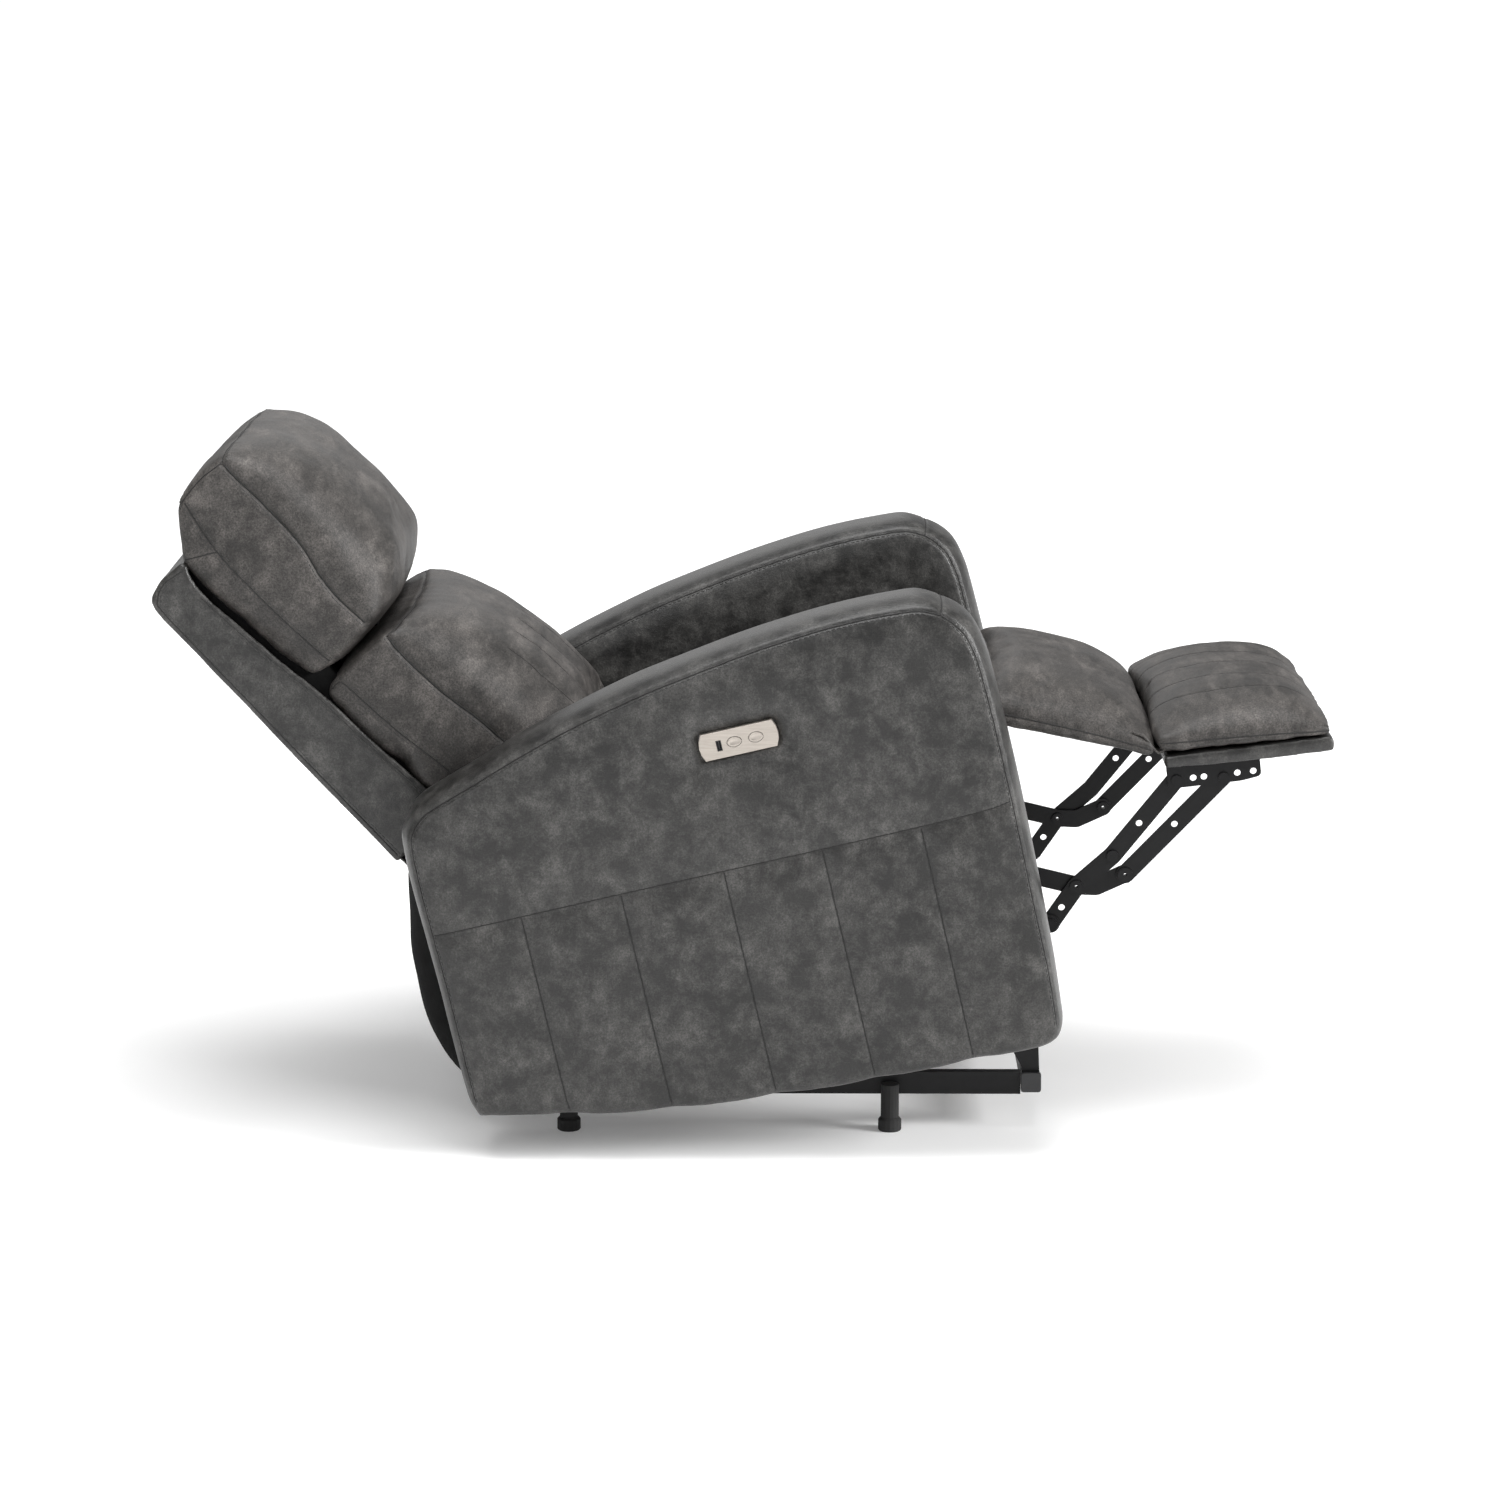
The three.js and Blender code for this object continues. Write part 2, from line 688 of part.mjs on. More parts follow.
// The charging socket's insert, with a tongue in an open mouth.
function usbPort() {
  const inset = (d) => [
    [USB.y - USB.width / 2 + d, USB.y + USB.width / 2 - d],
    [USB.z - USB.height / 2 + d, USB.z + USB.height / 2 - d],
  ];
  const [yo, zo] = inset(GAP);
  const [yi, zi] = inset(1.2);
  const body = box([PANEL_FACE + 0.6, PANEL_FACE + 13.5], yo, zo);
  const mouth = box([PANEL_FACE - 1, PANEL_FACE + 9], yi, zi);
  const tongue = box([PANEL_FACE + 1.5, PANEL_FACE + 10], [USB.y - 0.6, USB.y + 0.9], [334, 344]);
  return fuse(cut(body, mouth), tongue);
}

function button(y) {
  const cap = extrudeX(
    oval(y, PANEL.z, BUTTON.ry, BUTTON.rz),
    PANEL_FACE - BUTTON.proud,
    PANEL_FACE + 8,
    0.8,
    6,
  );
  const dish = new THREE.SphereGeometry(1, 16, 10)
    .scale(1.6, BUTTON.ry - 2, BUTTON.rz - 1.6)
    .translate(PANEL_FACE - BUTTON.proud - 0.6, y, PANEL.z);
  return cut(cap, dish);
}

seat.add(mesh("control_bezel", controlBezel(), SATIN_METAL()));
seat.add(mesh("usb_port", usbPort(), PLASTIC()));
seat.add(mesh("recline_button", button(BUTTON.y[0]), SATIN_METAL()));
seat.add(mesh("upright_button", button(BUTTON.y[1]), SATIN_METAL()));

// ---------------------------------------------------------------- seat cushion and rear cover
const SEAT_BOTTOM = 190;
function seatCushion() {
  const shape = outline([
    [-384, SEAT_BOTTOM, 16],
    [150, SEAT_BOTTOM, 16],
    [150, 262, 20],
    [-40, 280, 60],
    [-384, 316, 34],
  ]);
  return extrudeX(shape, -PAD_HALF, PAD_HALF, 8);
}

// The black cover behind the seat bulges between the arms.
function dustCover() {
  const run = [
    [372, 216],
    [392, 125],
    [400, 62],
    [397, 8],
    [382, -38],
    [352, -70],
  ].map(([y, z]) => new THREE.Vector2(y, z));
  const thickness = 5;
  const shape = new THREE.Shape();
  shape.moveTo(run[0].x, run[0].y);
  shape.splineThru(run.slice(1));
  const inside = run.map((p) => new THREE.Vector2(p.x - thickness, p.y + thickness / 2));
  shape.lineTo(inside.at(-1).x, inside.at(-1).y);
  shape.splineThru(inside.slice(0, -1).reverse());
  shape.closePath();
  return extrudeX(shape, -250, 250, 0, 3);
}

seat.add(mesh("seat_cushion", seatCushion(), LEATHER()));
seat.add(mesh("rear_dust_cover", dustCover(), DUST_CLOTH()));

// ---------------------------------------------------------------- backrest
// In this frame z runs up along the backrest and -y points out of its front.
const SHELL = { rear: 137.5, wall: 8, bottom: 103, top: 582 };

function backShell() {
  const side = (inset) =>
    outline([
      [SHELL.rear - inset, SHELL.bottom - (inset ? 50 : 0)],
      [SHELL.rear - inset, SHELL.top - inset, 26],
      [61, SHELL.top - inset, 12],
      [75, 538, 30],
      [41, 141, 20],
      [44, SHELL.bottom - (inset ? 50 : 0)],
    ]);
  const body = extrudeX(side(0), -SHELL_HALF, SHELL_HALF, 4);
  const hollowHalf = SHELL_HALF - SHELL.wall;
  const cavity = outline([
    [SHELL.rear - SHELL.wall, SHELL.bottom - 50],
    [SHELL.rear - SHELL.wall, SHELL.top - SHELL.wall, 20],
    [-20, SHELL.top - SHELL.wall],
    [-20, SHELL.bottom - 50],
  ]);
  return cut(body, extrudeX(cavity, -hollowHalf, hollowHalf));
}

const BACK_PANEL_Y = [102, 120];
const POST = { x: [192, 227.7], y: [30, 120] };

function backPanel() {
  const shape = outline([
    [BACK_PANEL_Y[0], 116],
    [BACK_PANEL_Y[1], 116],
    [BACK_PANEL_Y[1], 556],
    [BACK_PANEL_Y[0], 556],
  ]);
  const half = POST.x[0] - GAP;
  return extrudeX(shape, -half, half);
}

function backPost(side) {
  const shape = outline([
    [64, 112, 8],
    [POST.y[1], 112],
    [POST.y[1], 560],
    [84, 560],
    [POST.y[0] + 12, 330, 20],
    [POST.y[0], 190, 20],
  ]);
  return inLayer(shape, POST.x, side);
}

function reclineBracket(side) {
  const plate = barLink([[0, 0], [62, 132], [74, 300]], LAYER_HINGE, side, [], 36);
  const pin = roundBar([0, 0], PIN_R, side * 218, side * 230);
  const inner = rivetHead([0, 0], 216, 221.4, side, 13);
  const outer = rivetHead([0, 0], 230, 235, side, 12);
  return fuse(plate, pin, inner, outer);
}

// Two straps reach forward between the cushions to the headrest's pins.
const STRAP_X = [118, 122];
function headrestHinge() {
  const strap = [STRAP_X, [-STRAP_X[1], -STRAP_X[0]]].map(([x0, x1]) => {
    const pinEnd = x0 > 0 ? x1 + 5 : x0 - 5;
    return [
      extrudeX(stadium(HEADREST_HINGE, [90, HEADREST_HINGE[1]], 12), x0, x1),
      roundBar(HEADREST_HINGE, 3, (x0 + x1) / 2, pinEnd),
    ];
  });
  const bar = box([-126, 126], [88, BACK_PANEL_Y[0] - GAP], [328, 352]);
  return fuse(bar, ...strap.flat());
}

function lumbarCushion() {
  const shape = new THREE.Shape();
  shape.moveTo(20, 330);
  shape.lineTo(-48, 332);
  shape.quadraticCurveTo(-96, 330, -112, 296);
  shape.splineThru(
    [
      [-136, 230],
      [-150, 150],
      [-154, 80],
    ].map(([y, z]) => new THREE.Vector2(y, z)),
  );
  shape.quadraticCurveTo(-156, 30, -130, 30);
  shape.lineTo(0, 60);
  shape.lineTo(3, 150);
  shape.closePath();
  return extrudeX(shape, -CUSHION_HALF, CUSHION_HALF, 10, 5);
}

back.add(mesh("back_shell", backShell(), LEATHER()));
back.add(mesh("back_panel", backPanel(), WOOD()));
back.add(mesh("headrest_hinge", headrestHinge(), BLACK_STEEL()));
back.add(mesh("lumbar_cushion", lumbarCushion(), LEATHER()));
for (const [name, side] of SIDE_NAMES) {
  back.add(mesh(`back_post_${name}`, backPost(side), WOOD()));
  back.add(mesh(`recline_bracket_${name}`, reclineBracket(side), BLACK_STEEL()));
}

// ---------------------------------------------------------------- headrest
// Points are given in the backrest's frame and moved to the headrest's hinge.
function headrestFrame() {
  const plate = box([-185, 185], [29, 37], [352, 600]);
  const [z0, z1] = [HEADREST_HINGE[1] - 6, HEADREST_HINGE[1] + 6];
  const arms = [STRAP_X[1] + 2, -STRAP_X[1] - 7].flatMap((x) => [
    extrudeX(stadium(HEADREST_HINGE, [31, HEADREST_HINGE[1]], z1 - z0), x, x + 5),
    box([x, x + 5], [25, 37], [z0, 360]),
  ]);
  const holes = [STRAP_X[1], -STRAP_X[1] - 9].map((x) =>
    roundBar(HEADREST_HINGE, 3 + CLEAR, x, x + 9),
  );
  return cut(fuse(plate, ...arms), ...holes);
}

function headrestCushion() {
  const shape = new THREE.Shape();
  shape.moveTo(20, 351);
  shape.lineTo(27, 380);
  shape.lineTo(24, 560);
  shape.quadraticCurveTo(20, 640, -25, 649);
  shape.quadraticCurveTo(-60, 655, -95, 630);
  shape.splineThru(
    [
      [-130, 580],
      [-148, 510],
      [-150, 440],
      [-138, 378],
    ].map(([y, z]) => new THREE.Vector2(y, z)),
  );
  shape.quadraticCurveTo(-128, 352, -95, 351);
  shape.closePath();
  return extrudeX(shape, -CUSHION_HALF, CUSHION_HALF, 12, 3);
}

for (const [name, geometry, material] of [
  ["headrest_frame", headrestFrame(), BLACK_STEEL()],
  ["headrest_cushion", headrestCushion(), LEATHER()],
]) {
  geometry.translate(0, -HEADREST_HINGE[0], -HEADREST_HINGE[1]);
  headrest.add(mesh(name, geometry, material));
}

// ---------------------------------------------------------------- calf pad
// In this frame -y runs along the pad towards the feet.
const CALF = { bottom: -50, board: 12, rear: -10, front: -224 };

function calfCushion() {
  const low = CALF.bottom + CALF.board + GAP;
  const shape = new THREE.Shape();
  shape.moveTo(CALF.rear, low);
  shape.lineTo(CALF.rear, -8);
  shape.quadraticCurveTo(-16, 6, -40, 8);
  shape.lineTo(-140, 8);
  shape.quadraticCurveTo(-190, 4, -212, -14);
  shape.quadraticCurveTo(CALF.front, -20, CALF.front, -26);
  shape.lineTo(CALF.front, low);
  shape.closePath();
  return extrudeX(shape, -PAD_HALF, PAD_HALF, 4);
}

const calfBoard = box(
  [-PAD_HALF + 6, PAD_HALF - 6],
  [CALF.front, CALF.rear],
  [CALF.bottom, CALF.bottom + CALF.board],
);
calf.add(mesh("calf_board", calfBoard, WOOD()));
calf.add(mesh("calf_cushion", calfCushion(), LEATHER()));

// ---------------------------------------------------------------- ottoman
const OTTOMAN = { front: -224, rear: -5, board: 20 };

function footCushion() {
  const shape = new THREE.Shape();
  shape.moveTo(OTTOMAN.rear, GAP);
  shape.quadraticCurveTo(-4, 36, -22, 48);
  shape.quadraticCurveTo(-50, 60, -100, 60);
  shape.quadraticCurveTo(-160, 60, -190, 46);
  shape.quadraticCurveTo(-216, 32, OTTOMAN.front, 14);
  shape.lineTo(OTTOMAN.front, GAP);
  shape.closePath();
  return extrudeX(shape, -OTTOMAN_HALF, OTTOMAN_HALF, 4);
}

function ottomanBracket(side) {
  const plateShape = outline([
    [-7, -OTTOMAN.board - GAP],
    [-7, -53, 6],
    [-104, -53, 6],
    [-130, -49, 6],
    [-130, -OTTOMAN.board - GAP],
  ]);
  const top = -OTTOMAN.board - GAP;
  const [x0, x1] = LAYER_ROCKER;
  const flange = box(side > 0 ? [x0, x1 + 18] : [-x1 - 18, -x0], [-130, -7], [top - 3, top]);
  const holes = [-41, -55, -99, -120].map((y) => roundBar([y, -42], LINK_HOLE, side * 200, side * 230));
  const heads = [LONG_LINK_TOP, TOE_LINK_TOP].map((at) =>
    rivetHead(turned(minus(at, OTTOMAN_HINGE), OTTOMAN_SLOPE), x1 - 1, x1 + 3, side, 7),
  );
  return fuse(cut(inLayer(plateShape, LAYER_ROCKER, side), ...holes), flange, ...heads);
}

const ottomanBoard = extrudeX(
  outline(
    [
      [OTTOMAN.front, -OTTOMAN.board],
      [OTTOMAN.rear, -OTTOMAN.board],
      [OTTOMAN.rear, 0],
      [OTTOMAN.front, 0],
    ],
    3,
  ),
  -OTTOMAN_HALF,
  OTTOMAN_HALF,
);
ottoman.add(mesh("ottoman_board", ottomanBoard, LEATHER()));
ottoman.add(mesh("foot_cushion", footCushion(), LEATHER()));
for (const [name, side] of SIDE_NAMES) {
  ottoman.add(mesh(`ottoman_bracket_${name}`, ottomanBracket(side), BLACK_STEEL()));
}

export default chair;
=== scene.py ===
import json
import math

import bmesh
import bpy
import numpy as np
from mathutils import Matrix, Vector, noise
from mathutils.bvhtree import BVHTree
from mathutils.kdtree import KDTree


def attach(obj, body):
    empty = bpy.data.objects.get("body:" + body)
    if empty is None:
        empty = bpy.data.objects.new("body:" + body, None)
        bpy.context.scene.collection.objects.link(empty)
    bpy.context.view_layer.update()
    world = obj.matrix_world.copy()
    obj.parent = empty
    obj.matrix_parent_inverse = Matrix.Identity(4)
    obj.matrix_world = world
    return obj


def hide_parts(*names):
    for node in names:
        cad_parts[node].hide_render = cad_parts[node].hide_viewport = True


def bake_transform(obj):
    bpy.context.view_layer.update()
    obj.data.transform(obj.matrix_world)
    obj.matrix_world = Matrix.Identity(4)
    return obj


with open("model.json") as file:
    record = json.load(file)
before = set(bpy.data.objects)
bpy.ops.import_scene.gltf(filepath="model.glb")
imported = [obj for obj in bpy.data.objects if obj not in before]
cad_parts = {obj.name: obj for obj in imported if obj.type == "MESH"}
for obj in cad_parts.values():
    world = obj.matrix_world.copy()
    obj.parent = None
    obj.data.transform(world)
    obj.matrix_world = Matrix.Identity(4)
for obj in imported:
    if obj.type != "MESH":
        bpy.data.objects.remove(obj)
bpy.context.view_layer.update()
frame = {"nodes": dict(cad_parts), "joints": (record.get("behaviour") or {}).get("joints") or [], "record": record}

# A power recliner in distressed grey leather, fully reclined. Soft shapes are drawn in
# millimetres in the frame of the unit that they belong to: x across, y to the rear and z up
# when that unit is level.
scene = bpy.context.scene

MM = 0.001
SEAT_TILT = 13
BACK_RECLINE = 29.8
CALF_SLOPE = 25
OTTOMAN_SLOPE = 6.2

ARM_INNER, ARM_OUTER = 264, 404
SHELL_HALF = 255
CUSHION_HALF = 245
PAD_HALF = 256
OTTOMAN_HALF = 258
CHANNELS_X = (-163, -82, 0, 82, 163)

SIDES = (("left", 1), ("right", -1))
pivots = {j["name"]: Vector(j["pos_m"]) for j in frame["joints"] if j.get("pos_m")}


def unit_frame(hinge, lean):
    """The matrix from a unit's own millimetres to the row frame."""
    turn = Matrix.Rotation(math.radians(lean), 4, "X")
    return Matrix.Translation(pivots[hinge]) @ turn @ Matrix.Scale(MM, 4)


SEAT = unit_frame("body_tilt", -SEAT_TILT)
BACK = unit_frame("back_recline", -SEAT_TILT - BACK_RECLINE)
CALF = unit_frame("footrest_fold", CALF_SLOPE - SEAT_TILT)
OTTOMAN = unit_frame("ottoman_fold", OTTOMAN_SLOPE - SEAT_TILT)


# ---------------------------------------------------------------- camera and studio
def add_camera():
    """A long lens level with the arms, looking square at the sitter's right side."""
    place = Vector((-5.99987, -0.0547, 1.67216))
    drop, turn = math.radians(11.4), math.radians(0.45)
    ahead = Vector((math.cos(drop) * math.cos(turn), math.cos(drop) * math.sin(turn), -math.sin(drop)))
    data = bpy.data.cameras.new("camera")
    data.lens, data.sensor_width = 108, 36
    data.clip_end = 60
    camera = bpy.data.objects.new("camera", data)
    camera.location = place
    camera.rotation_mode = "QUATERNION"
    camera.rotation_quaternion = ahead.to_track_quat("-Z", "Y")
    scene.collection.objects.link(camera)
    scene.camera = camera


def add_light(name, place, aim, size, power, colour=(1, 1, 1)):
    data = bpy.data.lights.new(name, "AREA")
    data.shape, data.size, data.size_y = "RECTANGLE", size[0], size[1]
    data.energy, data.color = power, colour
    light = bpy.data.objects.new(name, data)
    light.location = place
    light.rotation_mode = "QUATERNION"
    light.rotation_quaternion = (Vector(aim) - Vector(place)).to_track_quat("-Z", "Y")
    scene.collection.objects.link(light)


def add_studio():
    add_light("softbox_top", (-0.6, 0.3, 4.6), (0, 0, 0.4), (3.2, 3.2), 205)
    add_light("softbox_side", (-4.2, 1.6, 2.6), (0, 0, 0.5), (1.6, 1.6), 38)
    add_light("softbox_front", (-2.2, -6.4, 3.2), (0, 0.1, 0.6), (2.6, 2.2), 560)
    add_light("softbox_far", (3.8, 0.6, 2.4), (0, 0, 0.5), (2.4, 2.4), 14)
    world = bpy.data.worlds.new("studio")
    world.use_nodes = True
    world.node_tree.nodes["Background"].inputs["Color"].default_value = (1, 1, 1, 1)
    world.node_tree.nodes["Background"].inputs["Strength"].default_value = 0.42
    scene.world = world
    scene.view_settings.view_transform = "Standard"


# ---------------------------------------------------------------- materials
class Nodes:
    """A material's node tree, written as short calls."""

    def __init__(self, name):
        self.material = bpy.data.materials.new(name)
        self.material.use_nodes = True
        self.tree = self.material.node_tree
        self.shader = self.tree.nodes["Principled BSDF"]
        coords = self.tree.nodes.new("ShaderNodeTexCoord")
        self.place = coords.outputs["Object"]

    def link(self, output, target):
        self.tree.links.new(output, target)

    def add(self, kind, **settings):
        node = self.tree.nodes.new("ShaderNode" + kind)
        for key, value in settings.items():
            setattr(node, key, value)
        return node

    def stretch(self, scale):
        mapping = self.add("Mapping")
        mapping.inputs["Scale"].default_value = scale
        self.link(self.place, mapping.inputs["Vector"])
        return mapping.outputs["Vector"]

    def noise(self, scale, detail=4, roughness=0.5, distortion=0.0, vector=None):
        node = self.add("TexNoise")
        node.inputs["Scale"].default_value = scale
        node.inputs["Detail"].default_value = detail
        node.inputs["Roughness"].default_value = roughness
        node.inputs["Distortion"].default_value = distortion
        self.link(vector or self.place, node.inputs["Vector"])
        return node.outputs["Fac"]

    def cells(self, scale, feature="F1", vector=None):
        node = self.add("TexVoronoi", feature=feature)
        node.inputs["Scale"].default_value = scale
        self.link(vector or self.place, node.inputs["Vector"])
        return node.outputs["Distance"]

    def ramp(self, factor, *stops):
        """Colours or greys at places from 0 to 1, each as (place, value)."""
        node = self.add("ValToRGB")
        ramp = node.color_ramp
        while len(ramp.elements) < len(stops):
            ramp.elements.new(1)
        for element, (place, value) in zip(ramp.elements, stops):
            element.position = place
            colour = (value,) * 3 if isinstance(value, (int, float)) else value
            element.color = (*colour, 1)
        self.link(factor, node.inputs["Fac"])
        return node.outputs["Color"]

    def mix(self, factor, a, b, blend="MIX"):
        node = self.add("Mix", data_type="RGBA", blend_type=blend)
        for socket, value in ((node.inputs[0], factor), (node.inputs[6], a), (node.inputs[7], b)):
            if isinstance(value, bpy.types.NodeSocket):
                self.link(value, socket)
            elif isinstance(value, (int, float)):
                socket.default_value = value
            else:
                socket.default_value = (*value, 1)
        return node.outputs[2]

    def bump(self, height, distance, strength=1.0, below=None):
        node = self.add("Bump")
        node.inputs["Distance"].default_value = distance
        node.inputs["Strength"].default_value = strength
        self.link(height, node.inputs["Height"])
        if below is not None:
            self.link(below, node.inputs["Normal"])
        return node.outputs["Normal"]

    def finish(self, colour=None, roughness=None, normal=None, **values):
        """Joins the maps to the shader, and sets the rest on its own sockets."""
        for socket, value in (("Base Color", colour), ("Roughness", roughness), ("Normal", normal)):
            if isinstance(value, bpy.types.NodeSocket):
                self.link(value, self.shader.inputs[socket])
            elif isinstance(value, (int, float)):
                self.shader.inputs[socket].default_value = value
            elif value is not None:
                self.shader.inputs[socket].default_value = (*value, 1)
        for key, value in values.items():
            self.shader.inputs[key.replace("_", " ").title().replace("Ior", "IOR")].default_value = value
        return self.material


def leather_material(name, dark, mid, light, scuff, gloss, dull):
    """Oiled split leather: cloudy rubbed patches, fine pebble grain and a few pale scratches.
    Scuff is how the rubbed patches are stretched along x, y and z; dull is its least roughness."""
    n = Nodes(name)
    stretched = n.stretch(scuff)
    clouds = n.noise(8, 5, 0.6, 0.2)
    patches = n.noise(26, 9, 0.72, 0.15, stretched)
    flecks = n.noise(420, 5, 0.8)
    colour = n.mix(n.ramp(clouds, (0.3, 0.0), (0.7, 1.0)), dark, mid)
    rubbed = n.ramp(patches, (0.42, 0.0), (0.54, 0.4), (0.66, 1.0))
    colour = n.mix(rubbed, colour, light)
    colour = n.mix(0.75, colour, n.ramp(flecks, (0.36, 0.12), (0.5, 0.5), (0.64, 0.95)), "OVERLAY")
    scratch = n.noise(45, 3, 0.6, 1.5, n.stretch((1, 0.3, 1.8)))
    scratch = n.ramp(scratch, (0.494, 0.0), (0.5, 0.3), (0.506, 0.0))
    colour = n.mix(scratch, colour, light)
    normal = n.bump(n.noise(70, 4, 0.6), 0.0012, 0.35)
    normal = n.bump(n.cells(780), 0.00028, 0.6, normal)
    normal = n.bump(n.noise(2100, 3, 0.6), 0.00012, 0.4, normal)
    roughness = n.ramp(patches, (0.3, dull), (0.7, dull + 0.16))
    return n.finish(colour, roughness, normal, specular_ior_level=gloss)


def thread_material():
    n = Nodes("thread")
    twist = n.noise(1600, 2)
    return n.finish(n.ramp(twist, (0.3, (0.012, 0.012, 0.012)), (0.7, (0.035, 0.034, 0.032))), 0.6,
                    n.bump(twist, 0.0002, 0.6))


def seam_shade_material():
    # Near black for the tube in each seam's groove: the leather's cut edge, and painted shade of the groove.
    n = Nodes("seam_edge_shade")
    worn = n.noise(400, 3)
    return n.finish(n.ramp(worn, (0.35, (0.006, 0.006, 0.006)), (0.75, (0.016, 0.015, 0.014))), 0.7,
                    n.bump(worn, 0.0002, 0.5))


def steel_material():
    """Black powder coat, with an orange peel and a little rubbing."""
    n = Nodes("powder_coat")
    peel = n.noise(900, 2)
    dust = n.noise(40, 6, 0.7)
    colour = n.ramp(dust, (0.35, (0.003, 0.003, 0.0034)), (0.75, (0.0075, 0.0075, 0.008)))
    return n.finish(colour, n.ramp(dust, (0.3, 0.38), (0.7, 0.52)), n.bump(peel, 0.00015, 0.35),
                    specular_ior_level=0.22)


def spring_material():
    n = Nodes("oiled_spring_steel")
    film = n.noise(60, 5, 0.6)
    colour = n.ramp(film, (0.3, (0.20, 0.20, 0.205)), (0.7, (0.36, 0.36, 0.37)))
    roughness = n.ramp(film, (0.3, 0.28), (0.7, 0.45))
    return n.finish(colour, roughness, n.bump(film, 0.0002, 0.3), metallic=0.9)


def plywood_material():
    n = Nodes("plywood")
    grain = n.noise(26, 8, 0.62, 0.8, n.stretch((6, 1, 0.35)))
    plies = n.add("TexWave", wave_type="BANDS", bands_direction="X")
    plies.inputs["Scale"].default_value = 55
    n.link(n.place, plies.inputs["Vector"])
    colour = n.ramp(grain, (0.3, (0.30, 0.17, 0.08)), (0.7, (0.52, 0.35, 0.19)))
    colour = n.mix(n.ramp(plies.outputs["Color"], (0.0, 0.0), (1.0, 0.25)), colour, (0.24, 0.14, 0.07))
    return n.finish(colour, 0.72, n.bump(grain, 0.0006, 0.4))


def plastic_material(name, base, rough):
    n = Nodes(name)
    texture = n.noise(1300, 3)
    tone = n.noise(30, 4)
    paler = tuple(c * 1.7 for c in base)
    roughness = n.ramp(tone, (0.3, rough - 0.06), (0.7, rough + 0.06))
    return n.finish(n.ramp(tone, (0.3, base), (0.75, paler)), roughness, n.bump(texture, 0.00015, 0.5))


def satin_material():
    """Champagne coated metal with a fine lengthways brush."""
    n = Nodes("satin_metal")
    brush = n.noise(500, 3, 0.6, 0, n.stretch((1, 0.06, 1)))
    colour = n.ramp(brush, (0.3, (0.36, 0.325, 0.29)), (0.7, (0.45, 0.41, 0.37)))
    roughness = n.ramp(brush, (0.3, 0.30), (0.7, 0.42))
    return n.finish(colour, roughness, n.bump(brush, 0.00005, 0.3), metallic=0.75)


def dust_cloth_and_shade_material():
    """Thin black non-woven lining, kept near black so that it also paints the shade in the gap between the back
    cushions and the shell.
    """
    n = Nodes("dust_cloth")
    fibres = n.noise(700, 5, 0.7, 1.2)
    pile = n.noise(60, 5, 0.6)
    return n.finish(n.ramp(pile, (0.3, (0.002, 0.002, 0.002)), (0.7, (0.006, 0.006, 0.006))), 0.95,
                    n.bump(fibres, 0.0005, 0.6), specular_ior_level=0.15)


# ---------------------------------------------------------------- curves and meshes
def smooth_run(points, step):
    """Points about `step` apart on a smooth open curve through the given ones."""
    p = np.array(points, float)
    ends = np.vstack([2 * p[0] - p[1], p, 2 * p[-1] - p[-2]])
    run = []
    for a, b, c, d in zip(ends, ends[1:], ends[2:], ends[3:]):
        count = max(1, round(np.linalg.norm(c - b) / step))
        for t in np.arange(count) / count:
            run.append(0.5 * (2 * b + (c - a) * t + (2 * a - 5 * b + 4 * c - d) * t**2
                              + (3 * b - a - 3 * c + d) * t**3))
    return np.array(run + [p[-1]])


def spaced(points, step):
    """The same polyline with points `step` apart."""
    p = np.array(points, float)
    along = np.concatenate([[0], np.cumsum(np.linalg.norm(np.diff(p, axis=0), axis=1))])
    marks = np.linspace(0, along[-1], max(2, round(along[-1] / step) + 1))
    return np.column_stack([np.interp(marks, along, p[:, k]) for k in range(p.shape[1])])


def closed_loop(*runs, step=6):
    """One closed outline from smooth runs that meet at corners."""
    parts = [smooth_run(run, step) for run in runs]
    return np.vstack([part[:-1] if np.allclose(part[-1], after[0]) else part
                      for part, after in zip(parts, parts[1:] + parts[:1])])


def new_object(name, mesh, material):
    mesh.materials.append(material)
    for face in mesh.polygons:
        face.use_smooth = True
    obj = bpy.data.objects.new(name, mesh)
    scene.collection.objects.link(obj)
    return obj


def loft(name, unit, rings, material):
    """A closed body through rings of equally many points, capped at both ends."""
    bm = bmesh.new()
    rows = [[bm.verts.new(unit @ Vector(p)) for p in ring] for ring in rings]
    count = len(rows[0])
    for a, b in zip(rows, rows[1:]):
        for i in range(count):
            j = (i + 1) % count
            bm.faces.new((a[i], a[j], b[j], b[i]))
    caps = [bm.faces.new(rows[0]), bm.faces.new(rows[-1][::-1])]
    bmesh.ops.triangulate(bm, faces=caps)
    bmesh.ops.recalc_face_normals(bm, faces=bm.faces)
    mesh = bpy.data.meshes.new(name)
    bm.to_mesh(mesh)
    bm.free()
    return new_object(name, mesh, material)


def join_into(target, *others):
    """Adds the meshes of the others to the target."""
    bm = bmesh.new()
    for obj in (target, *others):
        bm.from_mesh(obj.data)
    bm.to_mesh(target.data)
    bm.free()
    for obj in others:
        bpy.data.objects.remove(obj)
    return target


def apply_modifiers(obj):
    view = bpy.context.evaluated_depsgraph_get()
    mesh = bpy.data.meshes.new_from_object(obj.evaluated_get(view))
    obj.modifiers.clear()
    obj.data = mesh
    for face in mesh.polygons:
        face.use_smooth = True


def relax(obj, rounds):
    """Adds a smoothing of the surface, half way at each round."""
    smoothing = obj.modifiers.new("relax", "SMOOTH")
    smoothing.factor, smoothing.iterations = 0.5, rounds


def remesh(obj, size, rounds=4):
    """Even quads of `size` millimetres, with the voxel steps smoothed away."""
    voxel = obj.modifiers.new("voxel", "REMESH")
    voxel.mode, voxel.voxel_size = "VOXEL", size * MM
    relax(obj, rounds)
    apply_modifiers(obj)
    return obj


